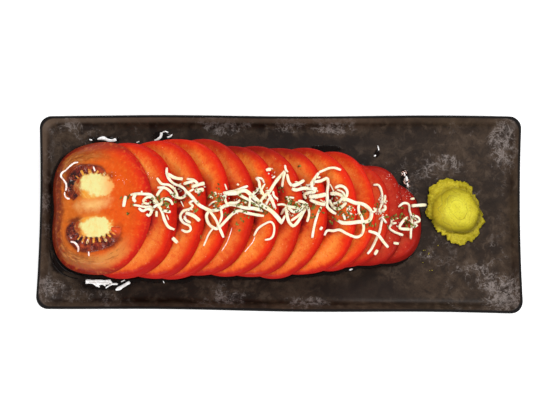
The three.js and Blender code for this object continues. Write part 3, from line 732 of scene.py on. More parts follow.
def fleshFinish(row):
    def tone(pale, ripe):  # this slice's colour between that of a pale slice and a red one
        return srgb(*(mix(a, b, row["red"]) for a, b in zip(pale, ripe)))

    finish = Finish(f"tomatoFlesh{row['index'] + 1:02d}", Roughness=0.4, IOR=1.33, Specular_IOR_Level=0.16,
                    Coat_Weight=0.04, Coat_Roughness=0.12, Subsurface_Weight=0.1, Subsurface_Scale=0.002,
                    Subsurface_Radius=(1.0, 0.3, 0.1))
    gap, across = finish.attribute("edgeGap"), finish.axis(1)
    ring = finish.attribute("ring", 1)
    fibres, streaks = finish.noise(1.3, 5, 0.7, place=ring), finish.noise(3.4, 4, 0.6, place=ring)
    clouds = finish.noise(7, 4, 0.6)
    patches, flecks = finish.noise(2.6, 4, 0.65), finish.noise(1.3, 3, 0.65)
    depth = gap + 3.0 * (clouds - 0.5) + 1.0 * (fibres - 0.5) + 3.0 * (streaks - 0.5) + 1.6 * (patches - 0.5)
    # from the skin inwards
    dark = tone((204, 26, 14), (132, 20, 14))
    edge = tone((230, 38, 16), (146, 24, 16))
    rim = tone((238, 60, 18), (164, 32, 24))
    warm = tone((246, 104, 30), (186, 44, 32))
    bright = tone((255, 158, 62), (200, 68, 44))
    root = tone((252, 48, 22), (170, 28, 26))
    colour = (depth / 24 + 0.25).colours(
        (0.0, dark), (0.18, dark), (0.25, edge), (0.31, rim), (0.40, warm), (0.56, bright), (0.76, warm),
        (0.92, root))
    colour = finish.blend(fibres.ramp(0.5, 0.75, 0.0, 0.3) * gap.ramp(1.0, 4.0), colour, bright)
    colour = finish.blend(streaks.ramp(0.48, 0.28, 0.0, 0.35), colour, rim)
    colour = finish.blend(across.ramp(-0.016, -0.030, 0.0, 0.35) * gap.ramp(0.5, 3.0), colour, bright)
    colour = finish.blend(patches.ramp(0.5, 0.72, 0.0, 0.5) * gap.ramp(1.0, 4.0), colour, bright)
    colour = finish.blend(patches.ramp(0.48, 0.26, 0.0, 0.6), colour, rim)
    colour = finish.blend(flecks.ramp(0.44, 0.2, 0.0, 0.55), colour, rim)
    colour = finish.blend(clouds.ramp(0.45, 0.2, 0.0, 0.5), colour, edge)
    grain = finish.noise(0.7, 3, 0.7)
    colour = finish.blend(grain.ramp(0.48, 0.3, 0.0, 0.5), colour, edge)
    blotches = (patches + 0.6 * (grain - 0.5)).ramp(0.56, 0.7) * gap.ramp(4.0, 8.0) * clouds.ramp(0.4, 0.6)
    colour = finish.blend(blotches * 0.6, colour, tone((240, 156, 98), (196, 96, 78)))
    # painted highlight: pale specks of wet sheen near the rim
    sheenDots = finish.cells(1.7).ramp(0.26, 0.12) * flecks.ramp(0.5, 0.62) * gap.ramp(0.5, 1.5)
    colour = finish.blend(sheenDots * 0.4, colour, srgb(246, 178, 142))
    # in the middle of the fan the flesh turns crimson towards the roots, and dark maroon deeper in the gaps
    # between slices; the maroon is partly glimpsed jelly and partly painted shade
    middle = abs(across - 0.001).ramp(0.021, 0.009)
    crimson = middle * gap.ramp(3.0, 8.0) * (0.45 + 0.55 * clouds.ramp(0.35, 0.6))
    colour = finish.blend(crimson * 0.85, colour, srgb(196, 20, 18))
    gape = middle * gap.ramp(8.5, 12.0) * (clouds + 0.5 * fibres).ramp(0.6, 0.78)
    colour = finish.blend(gape * 0.85, colour, srgb(116, 12, 26))
    nearRim = across.ramp(-0.024, -0.032) * depth.ramp(3.0, 0.3)
    colour = finish.blend(nearRim * 0.7, colour, srgb(166, 22, 20))
    farSide = across.ramp(0.022, 0.033) * depth.ramp(7.5, 1.5) * row["far"]
    finish.colour(finish.blend(farSide * (1 - 0.3 * clouds) * 0.9, colour, srgb(122, 18, 20)))
    finish.drive("Roughness", (0.32 + 0.25 * flecks).most(gap.ramp(6.0, 2.5) * 0.9))
    finish.relief(0.2 * fibres + 0.5 * flecks + 0.3 * finish.noise(0.7, 2), 0.2)
    return finish


# dark jelly showing through the first slice: place, half sizes, turn in degrees and strength
firstDarks = [
    (-113.8, 17.0, 3.2, 8.4, 12, 0.9),
    (-104.0, 20.4, 7.4, 2.2, 6, 0.6),
    (-110.2, 9.6, 3.4, 2.6, -40, 0.7),
    (-111.8, -12.6, 3.8, 5.4, -20, 0.75),
    (-111.0, -5.6, 4.4, 1.5, 10, 0.8),
    (-101.0, -19.6, 9.4, 2.2, 0, 0.55),
    (-88.0, -12.6, 2.6, 4.0, -30, 0.5),
    (-89.6, -18.6, 5.2, 2.2, 34, 0.85),
    (-92.0, 17.4, 2.6, 2.0, 20, 0.5),
]


def firstFinish():
    finish = Finish("tomatoFleshFirst", Roughness=0.34, IOR=1.36, Coat_Roughness=0.1, Specular_IOR_Level=0.2,
                    Subsurface_Weight=0.1, Subsurface_Scale=0.002, Subsurface_Radius=(1.0, 0.3, 0.1))
    gap, pit, core = (finish.attribute(name) for name in ("edgeGap", "pit", "core"))
    along, across = finish.axis(0), finish.axis(1)
    ring = finish.attribute("ring", 1)
    fibres, streaks = finish.noise(1.6, 4, 0.6, place=ring), finish.noise(4.0, 4, 0.6, place=ring)
    hoopPlace = finish.node("VectorMath", {"operation": "MULTIPLY"}, {0: ring, 1: (0.22, 0.22, 6.0)})
    hoops = finish.noise(1.6, 4, 0.6, place=hoopPlace)  # streaks that run round the slice
    clouds, patches = finish.noise(6, 5, 0.62), finish.noise(2.6, 4, 0.65)
    flecks = finish.noise(1.3, 3, 0.65)
    toRight = along.ramp(-0.114, -0.086)
    nearSide = across.ramp(-0.012, -0.026)
    depth = gap + 6.5 + 1.6 * (clouds - 0.5) + 0.8 * (fibres - 0.5) + 2.0 * (patches - 0.5)
    wall = finish.blend(toRight, srgb(176, 84, 24), srgb(224, 82, 12))
    farLeft = finish.spot(-112, 25, 17, 9, 30, 0.5, 0.6)
    wall = finish.blend(farLeft * 0.8, wall, srgb(160, 92, 36))
    wall = finish.blend(nearSide * along.ramp(-0.118, -0.098), wall, srgb(218, 138, 66))
    wall = finish.blend(nearSide * along.ramp(-0.094, -0.110) * 0.85, wall, srgb(152, 86, 40))
    striped = (1 - toRight).most(nearSide * 0.6) * depth.ramp(7.0, 9.0)
    wall = finish.blend(striped * hoops.ramp(0.5, 0.64, 0.0, 0.75), wall, srgb(206, 138, 74))
    wall = finish.blend(striped * hoops.ramp(0.48, 0.36, 0.0, 0.75), wall, srgb(104, 50, 20))
    wall = finish.blend(depth.ramp(12.0, 5.0) * toRight * (1 - 0.7 * nearSide), wall, srgb(224, 56, 14))
    wall = finish.blend(depth.ramp(7.5, 3.5) * (0.3 + 0.7 * toRight), wall, srgb(212, 36, 18))
    skinRed = finish.blend(toRight, srgb(128, 24, 16), srgb(190, 24, 18))
    wall = finish.blend(depth.ramp(6.0 - 2.0 * toRight, 4.4 - 2.2 * toRight), wall, skinRed)
    leftEnd = (along + 0.003 * (patches - 0.5)).ramp(-0.1170, -0.1210)
    wall = finish.blend(leftEnd * 0.85, wall, srgb(104, 28, 18))
    wall = finish.blend(across.ramp(-0.0290, -0.0345) * 0.85, wall, srgb(128, 34, 20))
    wall = finish.blend(across.ramp(0.0290, 0.0345) * 0.7, wall, srgb(138, 46, 22))
    inner = finish.blend(toRight, srgb(204, 100, 26), srgb(230, 86, 14))
    body = finish.blend(depth.ramp(11.0, 15.0), wall, inner)
    body = finish.blend(patches.ramp(0.5, 0.74, 0.0, 0.4), body, srgb(236, 132, 48))
    body = finish.blend(patches.ramp(0.47, 0.26, 0.0, 0.45), body, srgb(190, 62, 20))
    septum = finish.spot(-101.0, 3.2, 7.6, 3.8, 4, 0.9, 0.8)
    body = finish.blend(septum * (0.5 + 0.6 * patches), body, srgb(250, 196, 118))
    body = finish.blend(core.ramp(-3.4, -0.4) * 0.6, body, srgb(234, 130, 44))
    for x, y, halfX, halfY, turn, share in firstDarks:
        shade = finish.spot(x, y, halfX, halfY, turn, 0.9, 0.7) * share
        body = finish.blend(shade, body, srgb(96, 26, 13))
    farCore = finish.spot(-99.4, 13.2, 9.0, 5.8, -18, 0.6, 0.35)
    nearCore = finish.spot(-99.2, -10.0, 8.2, 5.4, 0, 0.6, 0.35)
    heart = farCore.most(nearCore)
    gold = finish.blend(along.ramp(-0.1062, -0.1098), srgb(240, 156, 52), srgb(164, 62, 24))
    cream = finish.blend(heart.ramp(0.0, 0.75), gold, srgb(240, 230, 154))
    cream = finish.blend(patches.ramp(0.46, 0.7, 0.0, 0.45) + streaks.ramp(0.5, 0.3, 0.0, 0.3), cream,
                         srgb(244, 204, 116))
    rightEnd = along.ramp(-0.099, -0.090) * across.ramp(-0.002, 0.004)
    cream = finish.blend(rightEnd * 0.85, cream, srgb(246, 160, 84))
    matt = depth.ramp(14.0, 8.0) * toRight
    outside = gap.ramp(15.0, 7.0)
    paleFibres = fibres.ramp(0.5, 0.75, 0.0, 0.2) * outside * gap.ramp(3.0, 8.0)
    body = finish.blend(paleFibres, body, srgb(246, 150, 66))
    body = finish.blend(fibres.ramp(0.46, 0.26, 0.0, 0.25) * outside, body, srgb(184, 58, 20))
    halo = (pit + 2.4 * (clouds - 0.5) + 1.2 * (flecks - 0.5)).ramp(-1.8, 0.0)
    halo = halo * (1 - finish.spot(-87.5, -10.0, 5.0, 4.0, 0, 0.4, 0.3))
    body = finish.blend(halo * 0.75, body, srgb(124, 44, 18))
    between, finger = finish.attribute("between"), finish.attribute("finger")
    amber = finish.blend(flecks.ramp(0.35, 0.6), srgb(224, 124, 34), srgb(248, 182, 74))
    between = between * core.ramp(0.4, -0.5)
    body = finish.blend(between * 0.9, body, finish.blend(finger.ramp(0.2, 0.7), srgb(104, 30, 14), amber))
    inside = (core + 0.8 * (flecks - 0.5) + 1.2 * (clouds - 0.5)).ramp(-0.7, 0.7)
    body = finish.blend(inside.most(heart.ramp(0.0, 0.5)), body, cream)
    floor = finish.blend(finger.ramp(0.2, 0.7), srgb(70, 15, 10), amber)
    finish.colour(finish.blend(pit.ramp(-0.3, 0.15), body, floor))
    finish.drive("Roughness", (0.24 + 0.26 * flecks).most(0.8 * matt))
    finish.drive("Coat Weight", 0.2 * (1 - matt) * flecks.ramp(0.4, 0.6))
    finish.relief(0.3 * fibres + 0.5 * flecks + 0.2 * finish.noise(0.7, 2), 0.18)
    return finish


sliceFinishes = [firstFinish()] + [fleshFinish(row) for row in sliceRows[1:]]
slicePieces = [slicePiece(row, finish) for row, finish in zip(sliceRows, sliceFinishes)]
print("slices made,", sum(len(piece.data.polygons) for piece in slicePieces), "faces")


# seeds stick out of the wall of a chamber, a few lie bright in the jelly
seedLook = {
    "halfLength": 1.35,
    "halfWidth": 0.85,
    "halfHeight": 0.5,
    "taper": 0.18,  # how much slimmer the end near the core is
    "standOut": 0.62,
    "wallShare": 1.3,
    "sides": 16,
    "rings": 10,
}


def jellyPiece(chamber, finish):
    bm = bmesh.new()
    bmesh.ops.create_grid(bm, x_segments=jelly["columns"], y_segments=jelly["rows"], size=0.5)
    top = sliceRows[0]["thickness"] - jelly["sunk"]
    seeds = [seedPlace(chamber, share)[:2] for share in chamber["seeds"]]
    finger, wall, ended = layer(bm, "finger"), layer(bm, "wall"), layer(bm, "ended")
    for vert in bm.verts:
        share = mix(-0.004, 1.004, vert.co.x + 0.5)
        outwards = vert.co.y + 0.5
        inner, outer = jellyReach(chamber, share)
        reach = mix(inner - jelly["overlap"], max(outer, inner) + jelly["overlap"], outwards)
        along, across = roundCore(chamber, share, reach)
        middle = 1 - abs(2 * vert.co.y)
        climb = jelly["climb"] * (1 - smooth(0, 0.26, middle * (outer - inner) / 4)) ** 2
        lumps = jelly["lumps"] * rough(along, across, 0, jelly["lumpSize"], 5.0)
        lumps += jelly["grain"] * rough(along, across, 0, jelly["grainSize"], 9.0)
        over = 0
        for a, b in seeds:
            near = math.exp(-((along - a) ** 2 + (across - b) ** 2) / jelly["overSeedReach"])
            over = max(over, jelly["overSeed"] * near)
        vert[finger] = goldShare(chamber, share, reach)
        vert[wall] = smooth(0.75, 1, outwards)
        vert[ended] = smooth(0.84, 0.95, share) if chamber["node"] == "seed_jelly_near" else 0
        up = top - jelly["low"] + climb + lumps * middle + over + jelly["fingerRise"] * vert[finger]
        vert.co = slicePoint(sliceRows[0], along, across, up)
    faces = bmesh.ops.extrude_face_region(bm, geom=list(bm.faces), use_keep_orig=True)["geom"]
    drop = Vector((math.sin(fan["tilt"]), 0, -math.cos(fan["tilt"]))) * jelly["depth"]
    bmesh.ops.translate(bm, vec=drop, verts=[item for item in faces if isinstance(item, bmesh.types.BMVert)])
    name = "seedJelly" + chamber["node"].split("_")[-1].title()
    return finishPiece(bm, name, finish, [chamber["node"]])


def seedPlace(chamber, share, reach=None):  # against the wall, unless a distance from the core is given
    outer = jellyReach(chamber, share)[1]
    if reach is None:
        reach = outer - 0.3 - seedLook["wallShare"] * seedLook["halfLength"]
    along, across = roundCore(chamber, share, reach)
    turn = math.atan2(across - chamber["core"][1], along - chamber["core"][0])
    return along, across, turn


def makeSeeds(finish):
    bm = bmesh.new()
    lean = Matrix.Rotation(-fan["tilt"], 4, "Y")
    bright = layer(bm, "bright")
    for chamber in chambers:
        places = [(share, None) for share in chamber["seeds"]] + list(chamber["brightSeeds"])
        for share, reach in places:
            along, across, turn = seedPlace(chamber, share, reach)
            up = sliceRows[0]["thickness"] - jelly["sunk"] + seedLook["standOut"] - seedLook["halfHeight"]
            centre = slicePoint(sliceRows[0], along, across, up)
            size = (seedLook["halfLength"], seedLook["halfWidth"], seedLook["halfHeight"])
            place = Matrix.Translation(centre) @ lean
            matrix = place @ Matrix.Rotation(turn, 4, "Z") @ Matrix.Diagonal((*size, 1))
            made = bmesh.ops.create_uvsphere(bm, u_segments=seedLook["sides"], v_segments=seedLook["rings"],
                                             radius=1, matrix=matrix)
            tip = Vector((math.cos(turn), math.sin(turn), 0))
            for vert in made["verts"]:
                toTip = (vert.co - centre).dot(tip) / seedLook["halfLength"]
                vert.co = centre + (vert.co - centre) * (1 - seedLook["taper"] * max(0, -toTip))
                vert[bright] = 0.0 if reach is None else 1.0
    finishPiece(bm, "tomatoSeeds", finish, [chamber["node"] for chamber in chambers])


def jellyFinish():
    finish = Finish("seedJelly", Roughness=0.1, IOR=1.36, Coat_Weight=0.4, Coat_Roughness=0.04,
                    Subsurface_Weight=0.08, Subsurface_Scale=0.002, Subsurface_Radius=(1.0, 0.3, 0.12))
    finger, wall = finish.attribute("finger"), finish.attribute("wall")
    along, across = finish.axis(0), finish.axis(1)
    murk, grain = finish.noise(3.0, 5, 0.66, 0.4), finish.noise(1.4, 4, 0.65)
    threads = abs(finish.noise(2.8, 5, 0.6, 0.8) - 0.5).ramp(0.0, 0.06, 1.0, 0.0)
    colour = murk.colours((0.34, srgb(40, 8, 6)), (0.48, srgb(92, 20, 12)), (0.6, srgb(144, 42, 20)),
                          (0.74, srgb(190, 78, 28)))
    lit = along.ramp(-0.108, -0.094) * across.ramp(0.0, 0.01)
    colour = finish.blend(lit * murk.ramp(0.3, 0.5) * 0.8, colour, srgb(184, 66, 24))
    # the far jelly is made near black at its left end
    nearBlackLeft = finish.spot(-113.5, 15, 3.6, 6.5, 12, 0.6, 0.5)
    colour = finish.blend(nearBlackLeft * murk.ramp(0.68, 0.5, 0.0, 0.95), colour, srgb(24, 8, 5))
    colour = finish.blend(threads * 0.4 * murk.ramp(0.4, 0.55), colour, srgb(202, 90, 28))
    colour = finish.blend(wall * grain.ramp(0.35, 0.6) * 0.8, colour, srgb(150, 56, 22))
    gold = finish.blend(grain.ramp(0.4, 0.6), srgb(214, 112, 28), srgb(246, 176, 66))
    colour = finish.blend((finger + 0.5 * (grain - 0.5)).ramp(0.15, 0.75), colour, gold)
    colour = finish.blend(finish.attribute("ended"), colour, srgb(234, 84, 24))
    finish.colour(colour)
    finish.drive("Roughness", 0.08 + 0.16 * murk)
    finish.relief(finish.noise(1.2, 3), 0.12)
    return finish


def seedFinish():
    finish = Finish("tomatoSeed", Roughness=0.3, IOR=1.4, Coat_Weight=0.8, Coat_Roughness=0.08)
    colour = finish.blend(finish.noise(0.9, 3).ramp(0.35, 0.7), srgb(176, 104, 44), srgb(248, 214, 146))
    finish.colour(finish.blend(finish.attribute("bright"), srgb(128, 46, 22), colour))
    finish.relief(finish.noise(0.4, 2), 0.05)
    return finish


jellyLook = jellyFinish()
jellyPieces = [jellyPiece(chamber, jellyLook) for chamber in chambers]
makeSeeds(seedFinish())
print("jelly and seeds made")


# the mustard is a ragged skirt with a dome turned on it by the spoon
mustard = {
    "x": 96.8,
    "y": 1.9,
    "skirtRadius": 16.4,
    "stretch": 2.3,  # the skirt is this much longer one way, and as much shorter the other way
    "stretchAngle": math.radians(116),
    "tab": (2.2, math.pi, 0.2),  # lip towards the slices: size, angle and width
    "notch": (1.6, 0.1, 0.12),  # bite out of the right edge, written the same way
    "domeRadius": 12.4,
    "skirtHeight": 5.2,
    "height": 14.2,
    "ragged": 0.5,
    "crumbs": ((1.3, 9, 1.4, 2.0), (1.1, 16, 1.3, 4.0)),  # of the edge: reach, spread, size and seed
    "rimHeight": 1.2,
    "crease": 1.2,  # depth of the groove between dome and skirt
    "swirl": 0.9,
    "swirlTurn": 5.5,
    "ledgeTurns": 5.5,  # steps that the spoon left, wound round the dome
    "ledge": 0.9,
    "ledgeWander": 0.6,
    "lumps": 0.7,
    "lumpSize": 4.5,
    "skirtLumps": ((1.0, 2.6, 7.0), (0.7, 1.2, 8.0)),  # height, size and seed
    "grain": 0.14,
    "grainSize": 1.2,
    "gap": 0.3,
    "shadeAngle": math.radians(205),
    "steps": 220,
    "rings": 90,
    "under": (0, 0.5, 0.8, 0.97),  # shares of the radius across the lower face
}


def mustardEdge(angle):
    edge = mustard["skirtRadius"] + mustard["stretch"] * math.cos(2 * (angle - mustard["stretchAngle"]))
    edge += mustard["ragged"] * (math.cos(5 * angle + 1) + 0.8 * math.cos(9 * angle + 2))
    edge += mustard["tab"][0] * bump(angle, *mustard["tab"][1:])
    return edge - mustard["notch"][0] * bump(angle, *mustard["notch"][1:])


def domeEdge(angle):
    return mustard["domeRadius"] * (1 + 0.05 * math.cos(2 * angle + 0.6) + 0.04 * math.cos(3 * angle + 2.2)
                                    + 0.02 * math.cos(7 * angle))


def mustardRise(distance, angle):
    skirt = mustard["skirtHeight"] * (1 - (distance / mustardEdge(angle)) ** 3) ** 0.6
    share = distance / domeEdge(angle)
    if share >= 1:
        return skirt - mustard["crease"] * math.exp(-(((share - 1.03) / 0.1) ** 2))
    turn = mustard["swirl"] * math.cos(angle - mustard["swirlTurn"] * share) * share * (1 - share) * 4
    dome = (mustard["height"] - mustard["skirtHeight"]) * (1 - share ** 2.3) ** 0.62
    return skirt + dome + turn - mustard["crease"] * share ** 12


def makeMustard(finish):
    rings = mustard["rings"]
    profile = [(share, 0) for share in mustard["under"]]
    profile += [(i / rings, 1) for i in range(rings, -1, -1)]
    bm = spun(profile, mustard["steps"])
    crease, away, ledges = layer(bm, "crease"), layer(bm, "away"), layer(bm, "ledges")
    for vert in bm.verts:
        share = math.hypot(vert.co.x, vert.co.y)
        angle = math.atan2(vert.co.y, vert.co.x)
        edge = mustardEdge(angle)
        x, y = math.cos(angle), math.sin(angle)
        crumbs = sum(reach * rough(x * spread, y * spread, 0, size, seed)
                     for reach, spread, size, seed in mustard["crumbs"])
        distance = share * (edge + crumbs * smooth(0.6, 1, share))
        outX, outY = distance * x, distance * y
        up = 0
        if vert.co.z > 0.5:
            rim = mustard["rimHeight"] if share > 0.999 else 0
            up = max(rim, mustardRise(min(share * edge, 0.995 * edge), angle))
            turns = mustard["ledgeTurns"] * share - angle / 2 / math.pi
            turns += mustard["ledgeWander"] * rough(outX, outY, 0, 6, 1.0)
            ledge = 0.5 - min(turns % 1, 4 * (1 - turns % 1))
            strength = 0.7 + 0.9 * rough(outX, outY, 0, 8, 5.0) - 0.3 * x
            swirled = strength * smooth(0.12, 0.3, share) * (1 - smooth(0.66, 0.8, share))
            up += mustard["ledge"] * ledge * swirled
            # where a step drops, noted for painted shade
            vert[ledges] = clamp(swirled) * smooth(0.72, 0.92, turns % 1)
            up += mustard["lumps"] * rough(outX, outY, 0, mustard["lumpSize"], 3.0) * min(1, 0.4 * up)
            skirtShare = smooth(0.66, 0.8, share)
            grit = sum(high * rough(outX, outY, 0, size, seed) for high, size, seed in mustard["skirtLumps"])
            up += skirtShare * grit * min(1, 0.6 * up)
            up += mustard["grain"] * rough(outX, outY, 0, mustard["grainSize"], 6.0)
            # the groove round the dome, noted for painted shade
            vert[crease] = math.exp(-(((distance / domeEdge(angle) - 1.03) / 0.085) ** 2))
            # the side away from the lamps, made lighter in the finish as painted light
            vert[away] = smooth(0.3, 0.7, share) * max(0, math.cos(angle - mustard["shadeAngle"])) ** 0.6
        base = plate["wellHeight"] + mustard["gap"] - 0.25 * (up == 0)
        vert.co = (mustard["x"] + outX, mustard["y"] + outY, base + up)
    finishPiece(bm, "mustardDollop", finish, ["mustard"])


def mustardFinish():
    finish = Finish("mustardPaste", Roughness=0.5, IOR=1.45, Specular_IOR_Level=0.35, Subsurface_Weight=0.08,
                    Subsurface_Scale=0.002, Subsurface_Radius=(1.0, 0.8, 0.2))
    crease, away, ledges = (finish.attribute(name) for name in ("crease", "away", "ledges"))
    along, across, up = (finish.axis(index) for index in range(3))
    clouds, grit = finish.noise(5, 4, 0.6), finish.noise(0.9, 3, 0.6)
    # painted shade: the lower mustard is darker towards the right and the near side
    low = finish.blend(along.ramp(0.090, 0.112), srgb(200, 182, 32), srgb(178, 162, 26))
    low = finish.blend(across.ramp(-0.008, -0.016, 0.0, 0.7), low, srgb(172, 156, 26))
    # painted light: lighter towards the top of the dome
    colour = finish.blend(up.ramp(0.0145, 0.0215), low, srgb(212, 198, 42))
    colour = finish.blend(up.ramp(0.0200, 0.0230), colour, srgb(222, 212, 54))
    # painted light: the side away from the lamps is made lighter
    colour = finish.blend(away * 0.4, colour, srgb(240, 222, 60))
    # painted shade along the steps the spoon left
    colour = finish.blend(ledges * 0.7, colour, srgb(156, 140, 28))
    # painted shade in the groove round the dome, strongest on the right and near side
    creaseSide = (along - 0.0974) * 0.6 - (across - 0.0014) * 0.8
    colour = finish.blend(crease * creaseSide.ramp(-0.008, 0.008, 0.35, 0.85), colour, srgb(112, 98, 20))
    colour = finish.blend(grit.ramp(0.5, 0.75, 0.0, 0.5), colour, srgb(150, 134, 26))
    colour = finish.blend(clouds.ramp(0.5, 0.25, 0.0, 0.45), colour, srgb(166, 150, 32))
    finish.colour(colour)
    finish.drive("Roughness", 0.42 + 0.3 * grit)
    finish.relief(0.6 * grit + 0.4 * finish.noise(0.45, 3), 0.22)
    return finish


mustardLook = mustardFinish()
makeMustard(mustardLook)
print("mustard made")


# what lies on the food finds its height on the finished meshes

def surfaceTree(pieces):
    whole = bmesh.new()
    for piece in pieces:
        whole.from_mesh(piece.data)
    bmesh.ops.scale(whole, vec=(1 / mm, 1 / mm, 1 / mm), verts=whole.verts)
    tree = BVHTree.FromBMesh(whole)
    whole.free()
    return tree


food = surfaceTree(slicePieces)
plateTop = surfaceTree([platePiece])


def topAt(x, y, tree=None):  # highest point of the food, or the plate, and its slope
    place, normal, _, _ = (tree or food).ray_cast(Vector((x, y, 90)), Vector((0, 0, -1)))
    if place is None:
        return plate["wellHeight"], Vector((0, 0, 1))
    return place.z, normal


# places on the food are written in the units of a picture of 560 by 420, taken by the camera
sight = {
    "x": 280,  # the picture's middle
    "y": 210,
    "unit": 0.55,  # millimetres at the height of the plate's rim
    "lean": math.radians(90 - view["elevation"]),
}


def turned(gridX, gridY):  # the view is turned by the camera's roll
    x, y, sine = gridX - sight["x"], gridY - sight["y"], math.sin(math.radians(view["roll"]))
    return x + y * sine, y - x * sine


def seenAt(gridX, gridY, tree=None):  # the place on the food that shows at a place of the picture
    z = 30  # a first guess, which each round improves
    right, down = turned(gridX, gridY)
    for _ in range(6):
        above = z - plate["height"]
        closer = 1 - above / view["distance"]
        x = right * sight["unit"] * closer
        y = view["aim"][1] - down * sight["unit"] * closer - above * math.tan(sight["lean"])
        z = topAt(x, y, tree)[0]
    return x, y


shred = {
    "vary": (0.98, 1.18),  # of the widths noted below
    "thickness": 0.62,  # share of the width
    "thicknessVary": (0.85, 1.1),
    "thinnest": 0.5,
    "thickest": 1.7,  # the width past which a strand gets no thicker
    "unevenness": 0.16,
    "twist": 0.35,
    "step": 0.8,
    "reach": 0.7,  # share of the half width within which the food below is felt
    "clearance": 0.1,
    "sag": 0.1,  # how fast a strand falls away from what holds it up
    "holdSteps": 12,  # how many steps away that may be
    "sides": 8,
    "squareness": 0.75,
    "endTaper": 0.72,
    "curveCuts": 24,
    "cell": 0.7,
    "sink": 0.45,  # how much a strand settles into the ones below it
}
